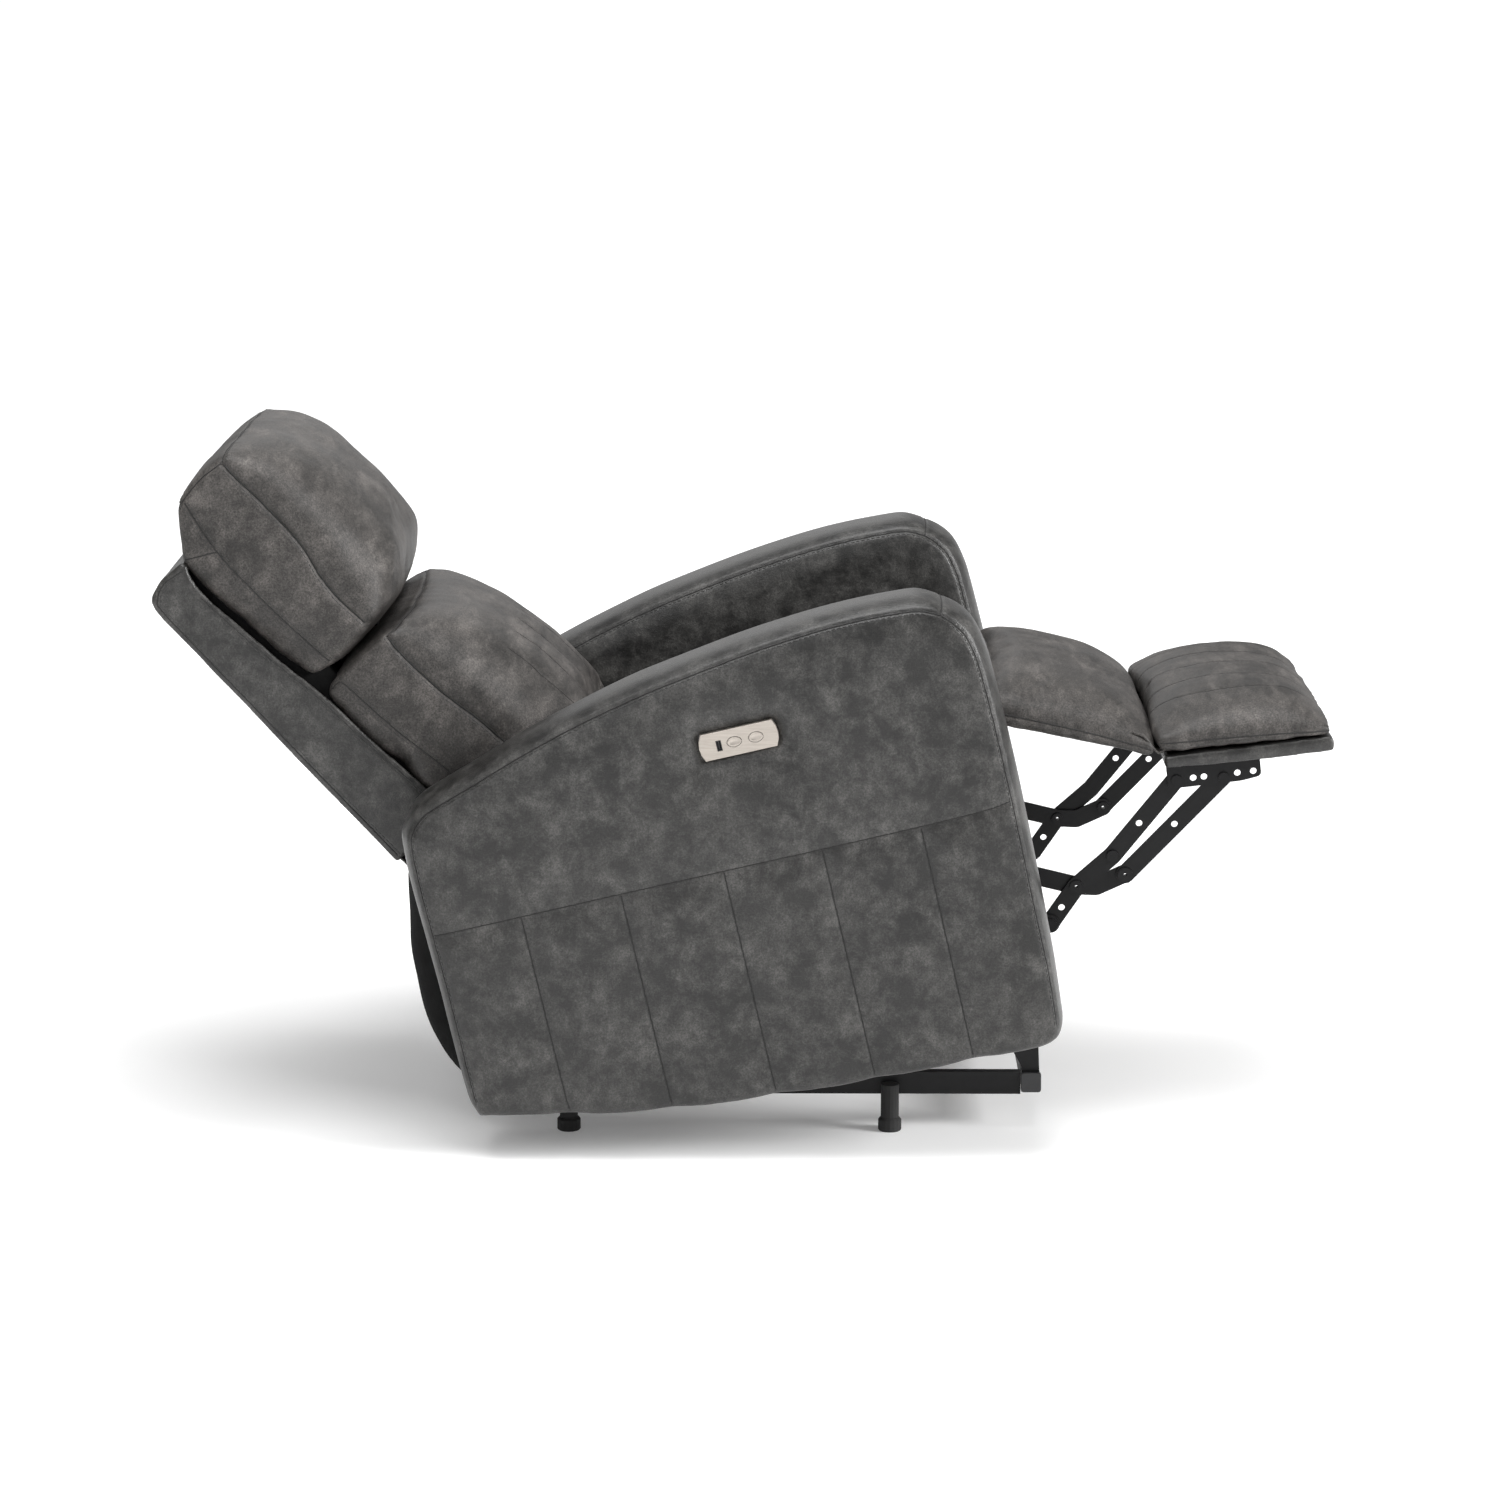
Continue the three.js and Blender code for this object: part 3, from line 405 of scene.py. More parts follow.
def subdivide(obj):
    finer = obj.modifiers.new("finer", "SUBSURF")
    finer.levels = finer.render_levels = 1
    apply_modifiers(obj)


def points_of(mesh):
    co = np.zeros(len(mesh.vertices) * 3, np.float32)
    mesh.vertices.foreach_get("co", co)
    return co.reshape(-1, 3).astype(float)


def normals_of(mesh):
    normal = np.zeros(len(mesh.vertices) * 3, np.float32)
    mesh.vertices.foreach_get("normal", normal)
    return normal.reshape(-1, 3).astype(float)


def set_points(mesh, co):
    mesh.vertices.foreach_set("co", co.astype(np.float32).ravel())
    mesh.update()


def surface_of(mesh):
    co = [v.co.copy() for v in mesh.vertices]
    return BVHTree.FromPolygons(co, [tuple(p.vertices) for p in mesh.polygons])


def rumple(obj, height, size, seed=0):
    """Soft uneven stuffing: slow noise along the normals, in millimetres."""
    co, normal = points_of(obj.data), normals_of(obj.data)
    shift = Vector((seed * 3.1, seed * 1.7, seed * 2.3))
    amount = np.array([noise.noise(Vector(p) / (size * MM) + shift) for p in co])
    set_points(obj.data, co + normal * (amount * height * MM)[:, None])


# ---------------------------------------------------------------- inflating
LAST_FRAME = 20
HOLD = 14  # how far from a seam the pad is still held, in millimetres
LEAST_WEIGHT = 0.02
HOLDING_DEPTH = 1.55  # only seams deeper than this hold the pad


def inflate(pads):
    """Runs the cloth of all the pads together, under pressure and without gravity. Each of the
    pads is (object, points where it is held, most millimetres that a point may move)."""
    jobs = []
    for obj, held, cap in pads:
        rest = points_of(obj.data)
        tree = KDTree(len(held))
        for i, p in enumerate(held):
            tree.insert(p, i)
        tree.balance()
        group = obj.vertex_groups.new(name="held")
        for i, p in enumerate(rest):
            near = tree.find(p)[2] / MM
            weight = math.exp(-((near / HOLD) ** 2))
            if weight > LEAST_WEIGHT:
                group.add([i], weight, "REPLACE")
        cloth = obj.modifiers.new("cloth", "CLOTH")
        cloth.point_cache.frame_start, cloth.point_cache.frame_end = 1, LAST_FRAME
        settings = cloth.settings
        settings.quality, settings.mass = 4, 0.4
        settings.tension_stiffness = settings.compression_stiffness = 12
        settings.shear_stiffness, settings.bending_stiffness = 8, 4
        settings.use_pressure, settings.uniform_pressure_force = True, 4.0
        settings.vertex_group_mass = "held"
        settings.effector_weights.gravity = 0
        cloth.collision_settings.use_collision = False
        jobs.append((obj, rest, cap))
    for number in range(1, LAST_FRAME + 1):
        scene.frame_set(number)
    view = bpy.context.evaluated_depsgraph_get()
    for obj, rest, cap in jobs:
        moved = points_of(obj.evaluated_get(view).data)
        obj.modifiers.clear()
        obj.vertex_groups.clear()
        shift = moved - rest
        length = np.linalg.norm(shift, axis=1) / MM
        keep = cap * np.tanh(length / cap) / np.maximum(length, 1e-9)
        set_points(obj.data, rest + shift * keep[:, None])
        relax(obj, 6)
        apply_modifiers(obj)
    scene.frame_set(1)


# ---------------------------------------------------------------- sewing
def seam(points, unit, depth=2.2, width=3.5, stitches=(), pucker=0.0, thread=0.8):
    """A seam near a piece's surface: how deep and wide it presses in, where its rows of stitches
    run beside it, how much it gathers the leather, and the radius of the dark tube along its
    groove, which is the leather's cut edge and painted shade of the groove, in millimetres."""
    path = [unit @ Vector(p) for p in spaced(smooth_run(points, 4), 2.5)]
    return {"path": path, "depth": depth, "width": width, "stitches": stitches,
            "pucker": pucker, "thread": thread}


def sew(obj, seams, puff=0.0, reach=30, seed=1):
    """Presses the seams into a piece, pillows the leather between them, and lays their stitches and a dark tube in
    each groove, which is partly the leather's cut edge and partly painted shade.
    """
    mesh = obj.data
    surface = surface_of(mesh)
    rng = np.random.default_rng(seed)
    samples, facts = [], []
    for sewn in seams:
        found = [surface.find_nearest(p) for p in sewn["path"]]
        sewn["on"] = [f[0] for f in found]
        sewn["normal"] = [f[1] for f in found]
        marks = len(found)
        knots = rng.normal(size=marks // 4 + 3)
        tuck = np.interp(np.arange(marks) / 4, np.arange(len(knots)), knots)
        for place, value in zip(sewn["on"], tuck):
            samples.append(place)
            facts.append((sewn["depth"], sewn["width"], sewn["pucker"] * value))
    tree = KDTree(len(samples))
    for i, p in enumerate(samples):
        tree.insert(p, i)
    tree.balance()
    facts = np.array(facts)
    co, normal = points_of(mesh), normals_of(mesh)
    found = [tree.find(p)[1:] for p in co]
    index = np.array([f[0] for f in found])
    near = np.array([f[1] for f in found]) / MM
    depth, width, tuck = facts[index].T
    lift = -depth * np.exp(-((near / width) ** 2)) + puff * (1 - np.exp(-((near / reach) ** 2)))
    lift += tuck * np.exp(-near / 9) * (1 - np.exp(-((near / 3) ** 2)))
    set_points(mesh, co + normal * (lift * MM)[:, None])
    lay_seam_shade_and_stitches(obj, seams)


def tube(bm, path, radius, sides=6):
    """A thin tube along a path, closed at both ends."""
    rings = []
    for i, p in enumerate(path):
        ahead = (path[min(i + 1, len(path) - 1)] - path[max(i - 1, 0)]).normalized()
        across = ahead.cross(Vector((0.31, 0.23, 0.92))).normalized()
        up = ahead.cross(across)
        ring = []
        for k in range(sides):
            turn = 2 * math.pi * k / sides
            ring.append(bm.verts.new(p + (across * math.cos(turn) + up * math.sin(turn)) * radius))
        rings.append(ring)
    for a, b in zip(rings, rings[1:]):
        for k in range(sides):
            bm.faces.new((a[k], a[(k + 1) % sides], b[(k + 1) % sides], b[k]))
    bm.faces.new(rings[0][::-1])
    bm.faces.new(rings[-1])


STITCH, STITCH_GAP, STITCH_STEP = 5.0, 2.2, 1.2
STITCH_RADIUS = 0.55


def lay_seam_shade_and_stitches(obj, seams):
    """A dark tube along the floor of each seam, which is the leather's cut edge and painted shade of the groove,
    and its rows of stitches, as children of the piece.
    """
    surface = surface_of(obj.data)
    seam_shade_tubes, rows = bmesh.new(), bmesh.new()
    for sewn in seams:
        line = []
        for place, normal in zip(sewn["on"], sewn["normal"]):
            spot = surface.find_nearest(place - normal * sewn["depth"] * MM)
            line.append(spot[0] + spot[1] * 0.1 * MM)
        # The dark tube at the groove's floor is painted shade for the groove, and partly the leather's cut edge.
        if sewn["thread"]:
            tube(seam_shade_tubes, line, sewn["thread"] * MM)
        for offset in sewn["stitches"]:
            beside = []
            for i, (place, normal) in enumerate(zip(line, sewn["normal"])):
                ahead = (line[min(i + 1, len(line) - 1)] - line[max(i - 1, 0)]).normalized()
                spot = surface.find_nearest(place + ahead.cross(normal) * offset * MM + normal * 2 * MM)
                beside.append(spot[0] + spot[1] * 0.15 * MM)
            fine = spaced([tuple(p) for p in beside], STITCH_STEP * MM)
            period = round((STITCH + STITCH_GAP) / STITCH_STEP)
            length = round(STITCH / STITCH_STEP)
            for start in range(0, len(fine) - length, period):
                tube(rows, [Vector(p) for p in fine[start : start + length + 1]], STITCH_RADIUS * MM, 5)
    for name, bm, material in (("seams", seam_shade_tubes, SEAM_SHADE), ("stitches", rows, THREAD)):
        if not bm.verts:
            bm.free()
            continue
        bmesh.ops.recalc_face_normals(bm, faces=bm.faces)
        mesh = bpy.data.meshes.new(f"{obj.name}_{name}")
        bm.to_mesh(mesh)
        bm.free()
        child = new_object(f"{obj.name}_{name}", mesh, material)
        child.parent = obj


# ---------------------------------------------------------------- pads
def across(half, count=13):
    """Places across a pad, closer together towards its sides, each from -half to half."""
    return [half * math.sin(math.pi / 2 * k / count) for k in range(-count, count + 1)]


def pad(name, unit, side_loop, crown_loop, half, fullness, dome=5):
    """A stuffed pad between two sewn sides. Its outline is side_loop at the sides and swells to
    crown_loop at the middle; fullness says how quickly."""
    side_loop, crown_loop = np.array(side_loop), np.array(crown_loop)
    power, root = fullness
    centre = side_loop.mean(0)
    rings = []

    def end(sign):
        for share, out in ((0.45, 1.0), (0.8, 0.8), (0.95, 0.4)):
            ring = centre + (side_loop - centre) * share
            yield [(sign * (half + dome * out), y, z) for y, z in ring]

    rings += list(end(-1))
    for x in across(half):
        share = (1 - (abs(x) / half) ** power) ** (1 / root) if abs(x) < half - 1e-6 else 0
        ring = side_loop + (crown_loop - side_loop) * share
        rings.append([(x, y, z) for y, z in ring])
    rings += list(end(1))[::-1]
    return loft(name, unit, rings, WORN_AND_LIT_LEATHER)


def paired_loops(sections, step=7):
    """Side and crown outlines with matching points. Each run is a list of
    (side y, side z, crown y, crown z)."""
    both = closed_loop(*sections, step=step)
    return both[:, :2], both[:, 2:]


def headrest():
    front = [(-52, 356, -96, 358), (-48.5, 405, -137, 390), (-51.5, 447, -143, 436), (-61.5, 494, -142, 494),
             (-62.3, 566, -136, 563), (-60, 611, -114, 612), (-61.5, 641, -80, 647)]
    top = [(-61.5, 641, -80, 647), (-24, 644, -30, 652), (20, 640, 18, 642)]
    slope = [(20, 640, 18, 642), (48, 609, 47, 612), (71, 581, 68, 584)]
    rear = [(71, 581, 68, 584), (73, 520, 64, 520), (69, 461, 58, 461), (62, 407, 52, 407),
            (50, 350, 47, 350)]
    under = [(50, 350, 47, 350), (0, 349, -20, 350), (-52, 356, -96, 358)]
    side_loop, crown_loop = paired_loops((front, top, slope, rear, under))
    return remesh(pad("headrest_pad", BACK, side_loop, crown_loop, CUSHION_HALF, (4, 2.6), 4), 6)


def mirrored(points):
    """The same points on both sides, as two lists of (x, y, z)."""
    return [[(sign * x, y, z) for x, y, z in points] for sign in (1, -1)]


def side_line(points, x=CUSHION_HALF + 3):
    return mirrored([(x, y, z) for y, z in points])


def headrest_seams():
    side_front = [(-52, 357), (-48.5, 405), (-51.5, 447), (-61.5, 494), (-62.3, 566), (-60, 611), (-61, 638)]
    side_rear = [(19, 352), (21, 412), (24, 487), (24, 559), (12, 634)]
    corner = [(24, 559), (68, 582)]
    top_edge = [(-60, 641), (-24, 644), (18, 640)]
    seams = []
    for sign, line in zip((1, -1), side_line(side_front, CUSHION_HALF)):
        seams.append(seam(line, BACK, 4.0, 4.5, (5 * sign,), 1.3, thread=1.2))
    for sign, line in zip((1, -1), side_line(side_rear)):
        seams.append(seam(line, BACK, 1.4, 3.5, (4, -4), 0.6))
    for line in side_line(corner):
        seams.append(seam(line, BACK, 1.2, 3.0))
    for line in side_line(top_edge, CUSHION_HALF):
        seams.append(seam(line, BACK, 1.6, 3.5, (), 0.5))
    for y, z in ((-70, 652), (17, 645)):
        line = [(-CUSHION_HALF, y + 8, z - 10), (-200, y, z - 2), (0, y - 6, z + 2), (200, y, z - 2),
                (CUSHION_HALF, y + 8, z - 10)]
        seams.append(seam(line, BACK, 1.6, 3.5, (5,), 0.4))
    return seams


def lumbar():
    front = [(-150, 34, -152, 26), (-110, 60, -165, 62), (-77.5, 123, -164, 140), (-72.5, 167, -160, 185),
             (-61.5, 231, -148, 240), (-57.5, 303, -122, 300), (-62.5, 336, -94, 327)]
    top = [(-62.5, 336, -94, 327), (-10, 336, -20, 338), (53, 335, 48, 338)]
    rear = [(53, 335, 48, 338), (60, 262, 50, 262), (53, 200, 46, 200), (45, 142, 38, 142), (0, 62, 0, 62)]
    under = [(0, 62, 0, 62), (-80, 46, -80, 42), (-150, 34, -152, 26)]
    side_loop, crown_loop = paired_loops((front, top, rear, under))
    return remesh(pad("lumbar_pad", BACK, side_loop, crown_loop, CUSHION_HALF, (4, 2.6), 4), 6)


def lumbar_seams():
    side_front = [(-100, 70), (-77.5, 123), (-72.5, 167), (-61.5, 231), (-57.5, 303), (-61, 334)]
    side_rear = [(2.5, 80), (2.5, 141), (11, 208), (19, 268), (25, 322), (32, 334), (44, 336)]
    seams = []
    for sign, line in zip((1, -1), side_line(side_front, CUSHION_HALF)):
        seams.append(seam(line, BACK, 4.0, 4.5, (5 * sign,), 1.2, thread=1.2))
    for line in side_line(side_rear):
        seams.append(seam(line, BACK, 1.4, 3.5, (4, -4), 0.6))
    seams.append(seam([(-CUSHION_HALF, -60, 336), (-200, -82, 332), (0, -92, 330), (200, -82, 332),
                       (CUSHION_HALF, -60, 336)], BACK, 2.0, 3.5, (), 0.5, thread=1.0))
    for x in CHANNELS_X:
        seams.append(seam([(x, -150, 36), (x, -166, 80), (x, -164, 140), (x, -154, 205)],
                          BACK, 1.2, 3.0, (), 0.3, thread=0.4))
    return seams


def seat_pad():
    front = [(-378, 196, -378, 194), (-382, 240, -382, 240), (-374, 286, -376, 294), (-354, 304, -354, 320)]
    top = [(-354, 304, -354, 320), (-300, 296, -300, 322), (-180, 280, -180, 306), (-40, 262, -40, 286),
           (140, 250, 140, 262)]
    rear = [(140, 250, 140, 262), (146, 222, 150, 222), (146, 194, 146, 192)]
    under = [(146, 194, 146, 192), (-378, 196, -378, 194)]
    side_loop, crown_loop = paired_loops((front, top, rear, under), 10)
    return remesh(pad("seat_pad", SEAT, side_loop, crown_loop, PAD_HALF, (5, 2.4), 2), 8)


def seat_seams():
    seams = []
    for line in mirrored([(PAD_HALF - 2, -376, 286), (PAD_HALF - 2, -354, 304), (PAD_HALF - 2, -180, 281),
                          (PAD_HALF - 2, -40, 263), (PAD_HALF - 2, 140, 250)]):
        seams.append(seam(line, SEAT, 2.4, 5, (), 0.6))
    for x in CHANNELS_X:
        seams.append(seam([(x, -384, 240), (x, -378, 292), (x, -354, 318), (x, -180, 306), (x, -40, 286),
                           (x, 130, 264)], SEAT, 2, 5, (), 0.3, thread=0.5))
    return seams


def calf_pad():
    rear = [(-10, -42, -10, -42), (-7, -36, -3, -14), (-14, -32, -11, 4)]
    top = [(-14, -32, -11, 4), (-34, -31, -32, 10), (-80, -32, -80, 12), (-144, -34, -144, 12),
           (-173, -36, -173, 6), (-205, -38, -205, -6), (-226, -40, -226, -22)]
    front = [(-226, -40, -226, -22), (-230, -44, -232, -36), (-226, -51, -226, -51)]
    under = [(-226, -51, -226, -51), (-24, -51, -24, -51), (-10, -42, -10, -42)]
    side_loop, crown_loop = paired_loops((rear, top, front, under), 6)
    return remesh(pad("calf_pad", CALF, side_loop, crown_loop, PAD_HALF, (5, 2.2), 3), 5)


def calf_seams():
    edge = [(-8, -36), (-80, -36), (-144, -37), (-205, -40), (-226, -43)]
    return [seam(line, CALF, 2.0, 3.5, (), 1.2) for line in side_line(edge, PAD_HALF + 2)]


def foot_pad():
    rear = [(2, 4, 2, 3), (4, 14, 9, 24), (2, 18, 6, 40)]
    top = [(2, 18, 6, 40), (-37, 17, -37, 56), (-94, 15, -94, 62), (-150, 13, -150, 60), (-190, 11, -190, 48),
           (-214, 9, -214, 26), (-226, 7, -227, 10)]
    front = [(-226, 7, -227, 10), (-224, 2, -224, 2)]
    under = [(-224, 2, -224, 2), (2, 3, 2, 2), (2, 4, 2, 3)]
    side_loop, crown_loop = paired_loops((rear, top, front, under), 6)
    return remesh(pad("foot_pad", OTTOMAN, side_loop, crown_loop, OTTOMAN_HALF, (5, 2.2), 3), 5)


def foot_seams():
    seams = []
    edge = [(2, 16), (-94, 14), (-190, 10), (-224, 7)]
    for line in side_line(edge, OTTOMAN_HALF + 2):
        seams.append(seam(line, OTTOMAN, 2.2, 3.5, (), 1.2))
    seams.append(seam([(-OTTOMAN_HALF, -226, 7), (-120, -228, 7), (120, -228, 7), (OTTOMAN_HALF, -226, 7)],
                      OTTOMAN, 2.0, 3.5, (), 0.8))
    for x in CHANNELS_X:
        seams.append(seam([(x, 8, 30), (x, -4, 44), (x, -37, 56), (x, -94, 62), (x, -150, 60), (x, -190, 48),
                           (x, -214, 26)], OTTOMAN, 0.9, 2.6, (), 0.2, thread=0.35))
    return seams


# ---------------------------------------------------------------- arms
ARM_TOP = [(329, 307), (308, 332), (279, 344), (222, 363), (165, 382), (108, 399), (53, 413), (-2, 425),
           (-56, 434), (-137, 446), (-190, 452), (-243, 456), (-295, 457), (-346, 455), (-371, 452),
           (-397, 440), (-416, 420), (-425, 402), (-431, 373)]
ARM_FRONT = [(-431, 373), (-433, 323), (-435, 212), (-434, 89), (-433, -38), (-429, -116)]
ARM_BOTTOM = [(-429, -116), (-411, -136), (-308, -134), (-182, -132), (-84, -125), (-6, -120), (78, -112),
              (174, -97), (275, -76), (316, -68)]
ARM_REAR = [(316, -68), (331, -52), (331, 120), (333, 240), (329, 307)]
ARM_SEAM_X = ARM_OUTER - 5
PANEL = {"y": -111, "z": 340, "length": 103, "height": 35}


def outward(loop):
    """Unit normals of a closed (y, z) loop, away from its middle."""
    tangent = np.roll(loop, -1, axis=0) - np.roll(loop, 1, axis=0)
    normal = np.column_stack([tangent[:, 1], -tangent[:, 0]])
    normal /= np.linalg.norm(normal, axis=1)[:, None]
    if ((loop - loop.mean(0)) * normal).sum() < 0:
        normal = -normal
    return normal


def arm(name, side):
    loop = closed_loop(ARM_TOP, ARM_FRONT, ARM_BOTTOM, ARM_REAR, step=9)
    normal = outward(loop)
    centre = loop.mean(0)
    height = np.interp(loop[:, 1], [-140, -60, 60, 360], [4, 5, 8, 10.5])
    inner_seam = ARM_INNER + 5
    rings = []
    for share, x in ((0.3, ARM_OUTER + 1), (0.75, ARM_OUTER + 1), (0.93, ARM_OUTER), (0.985, ARM_OUTER - 2)):
        rings.append((x, centre + (loop - centre) * share))
    for k in range(9):
        u = k / 8
        crown = (1 - abs(2 * u - 1) ** 2.6) ** 0.6
        x = ARM_SEAM_X + (inner_seam - ARM_SEAM_X) * u
        rings.append((x, loop + normal * (height * crown)[:, None]))
    for share, x in ((0.985, ARM_INNER + 2), (0.93, ARM_INNER), (0.75, ARM_INNER - 1), (0.3, ARM_INNER - 1)):
        rings.append((x, centre + (loop - centre) * share))
    rings = [[(side * x, y, z) for y, z in ring] for x, ring in rings]
    return remesh(loft(name, SEAT, rings, LEATHER), 5.2, 3)


def arm_seams(side):
    round_edge = np.vstack([np.array(ARM_FRONT)[::-1][:-1], np.array(ARM_TOP)[::-1]])
    round_edge = np.vstack([round_edge, ARM_REAR[::-1][1:-1]])
    seams = []
    for x, offset, rows in ((ARM_SEAM_X, 1, (5,)), (ARM_INNER + 5, -1, (5,))):
        line = [(side * x, y, z) for y, z in round_edge]
        seams.append(seam(line, SEAT, 3.0, 3.6, tuple(side * offset * r for r in rows), 0.25, thread=1.0))
    outer = side * (ARM_OUTER + 2)
    level = [(334, 177), (100, 178), (-200, 178), (-380, 180), (-434, 185)]
    seams.append(seam([(outer, y, z) for y, z in level], SEAT, 2.2, 3.0, (), 0.15, thread=0.7))
    bottom = {212: -88, 81: -111, -54: -123, -183: -131, -312: -134}
    for y, low in bottom.items():
        line = [(outer, y, 176), (outer, y, (176 + low) / 2), (outer, y, low)]
        seams.append(seam(line, SEAT, 2.4, 3.2, (), 0.15, thread=0.7))
    cross = [(side * ARM_SEAM_X, -397, 440), (side * 380, -400, 447), (side * 334, -402, 451),
             (side * 290, -400, 447), (side * (ARM_INNER + 5), -397, 440)]
    seams.append(seam(cross, SEAT, 1.4, 3.2))
    return seams


def dimple(obj):
    """The leather drawn in round the control panel, and cut away under it."""
    co = points_of(obj.data)
    local = np.array([tuple(SEAT.inverted() @ Vector(p)) for p in co])
    dy = np.maximum(np.abs(local[:, 1] - PANEL["y"]) - PANEL["length"] / 2, 0)
    dz = np.maximum(np.abs(local[:, 2] - PANEL["z"]) - PANEL["height"] / 2, 0)
    away = np.hypot(dy, dz)
    near_face = local[:, 0] < -ARM_OUTER + 20
    depth = np.where(away < 1.5, 12.0, 6.5 * np.exp(-((away / 13) ** 2)) + 2.5 * np.exp(-((away / 34) ** 2)))
    co[near_face, 0] += depth[near_face] * MM
    set_points(obj.data, co)


# ---------------------------------------------------------------- back shell
def shell():
    """The leather tray behind the cushions: a rear panel, a top and two sides."""
    rear, wall = 137.5, 10
    side_outline = closed_loop(
        [(rear, 103), (rear, 350), (rear, 547)],
        [(rear, 547), (132.5, 571), (104.5, 582)],
        [(104.5, 582), (66, 579)],
        [(66, 579), (74.5, 538), (69.5, 469), (62.5, 402), (53.5, 336), (49.5, 264), (43.5, 195), (39.5, 147),
         (42, 106)],
        [(42, 106), (rear, 103)],
        step=10,
    )
    parts = []
    for side in (1, -1):
        rings = []
        for x in (SHELL_HALF, SHELL_HALF - wall):
            rings.append([(side * x, y, z) for y, z in side_outline])
        parts.append(loft("shell_side", BACK, rings, LEATHER))
    back_outline = closed_loop(
        [(rear, 103), (rear, 547)],
        [(rear, 547), (132.5, 571), (104.5, 582)],
        [(104.5, 582), (66, 580)],
        [(66, 580), (66, 568)],
        [(66, 568), (100, 570), (122, 560), (rear - wall, 540)],
        [(rear - wall, 540), (rear - wall, 103)],
        [(rear - wall, 103), (rear, 103)],
        step=10,
    )
    rings = [[(x, y, z) for y, z in back_outline] for x in np.linspace(-SHELL_HALF, SHELL_HALF, 9)]
    parts.append(loft("shell_back", BACK, rings, LEATHER))
    obj = join_into(parts[0], *parts[1:])
    obj.name = obj.data.name = "back_tray"
    return remesh(obj, 4.5, 5)


def shell_seams():
    rear_edge = [(130, 110), (131, 350), (131, 540), (124, 566), (104, 576), (74, 572)]
    front_edge = [(46, 115), (46, 147), (50, 195), (56, 264), (60, 336), (69, 402), (76, 469), (80, 530)]
    rear_lines, front_lines = (side_line(edge, SHELL_HALF + 1) for edge in (rear_edge, front_edge))
    seams = [seam(line, BACK, 1.2, 3.0, (sign * -4,), 0.2) for sign, line in zip((1, -1), rear_lines)]
    seams += [seam(line, BACK, 0.8, 3.0, (sign * 3,), 0.2, thread=0.5)
              for sign, line in zip((1, -1), front_lines)]
    return seams


# ---------------------------------------------------------------- footrest board
def ottoman_wrap():
    """The ottoman's board, wrapped in leather with folded corners."""
    front, rear = -225, -4
    outline = closed_loop(
        [(rear, -18), (rear, -2)], [(rear, -2), (-110, -1), (front + 3, 0)], [(front + 3, 0), (front - 1, -9),
        (front + 2, -20)], [(front + 2, -20), (-110, -20.5), (rear, -18)], step=6)
    centre = outline.mean(0)
    rings = []
    for x, share in ((-OTTOMAN_HALF, 0.7), (-OTTOMAN_HALF + 2, 0.97), (-OTTOMAN_HALF + 8, 1), (0, 1),
                     (OTTOMAN_HALF - 8, 1), (OTTOMAN_HALF - 2, 0.97), (OTTOMAN_HALF, 0.7)):
        ring = centre + (outline - centre) * np.array([1 - (1 - share) * 0.05, share])
        rings.append([(x, y, z) for y, z in ring])
    obj = remesh(loft("ottoman_wrap", OTTOMAN, rings, LEATHER), 4, 2)
    rumple(obj, 0.8, 40, 5)
    return obj


# ---------------------------------------------------------------- fabric across the hinges
COVER_HALF = 262
COVER_EDGE_Y = 322


def strip(name, unit, line, half, thickness, material, set_in=lambda x, y, z: 0):
    """A thin leather strip whose section is the given (y, z) line, moved forward by set_in."""
    run = smooth_run(line, 6)
    tangent = np.gradient(run, axis=0)
    normal = np.column_stack([-tangent[:, 1], tangent[:, 0]])
    normal /= np.linalg.norm(normal, axis=1)[:, None]
    back = run + normal * thickness
    outline = np.vstack([run, back[::-1]])
    rings = [[(x, y - set_in(x, y, z), z) for y, z in outline] for x in across(half, 24)]
    return loft(name, unit, rings, material)


def knee_strip():
    """Leather in the crease of the knee hinge, from under the front of the seat pad into the
    rear of the calf pad."""
    to_seat = SEAT.inverted() @ CALF

    def calf(y, z):
        p = to_seat @ Vector((0, y, z))
        return p.y, p.z

    crown = smooth_run([(-342, 304), (-368, 304), (-398, 305), (-426, 306), calf(0, -6), calf(-16, -6),
                        calf(-34, -4)], 6)
    side = smooth_run([(-342, 284), (-368, 282), (-398, 278), (-426, 274), calf(0, -38), calf(-16, -38),
                       calf(-34, -38)], 6)
    crown, side = spaced(crown, 5), spaced(side, 5)
    count = min(len(crown), len(side))
    crown, side = (spaced(run, np.linalg.norm(np.diff(run, axis=0), axis=1).sum() / (count - 1))[:count]
                   for run in (crown, side))
    half = PAD_HALF - 1
    rings = []
    for x in across(half, 14):
        share = (1 - (abs(x) / half) ** 5) ** (1 / 2.2) if abs(x) < half - 1e-6 else 0
        upper = side + (crown - side) * share
        rings.append([(x, y, z) for y, z in np.vstack([upper, (upper - [0, 3])[::-1]])])
    return loft("knee_leather", SEAT, rings, WORN_AND_LIT_LEATHER)


def toe_strip():
    """Leather in the crease between the calf pad and the footrest."""
    to_seat = SEAT.inverted()
    line = [to_seat @ CALF @ Vector((0, y, z)) for y, z in ((-196, -24), (-212, -26), (-222, -34))]
    line += [to_seat @ OTTOMAN @ Vector((0, y, z)) for y, z in ((2, 4), (-6, 9), (-22, 10))]
    return strip("toe_leather", SEAT, [(p.y, p.z) for p in line], PAD_HALF - 4, 3, WORN_AND_LIT_LEATHER)


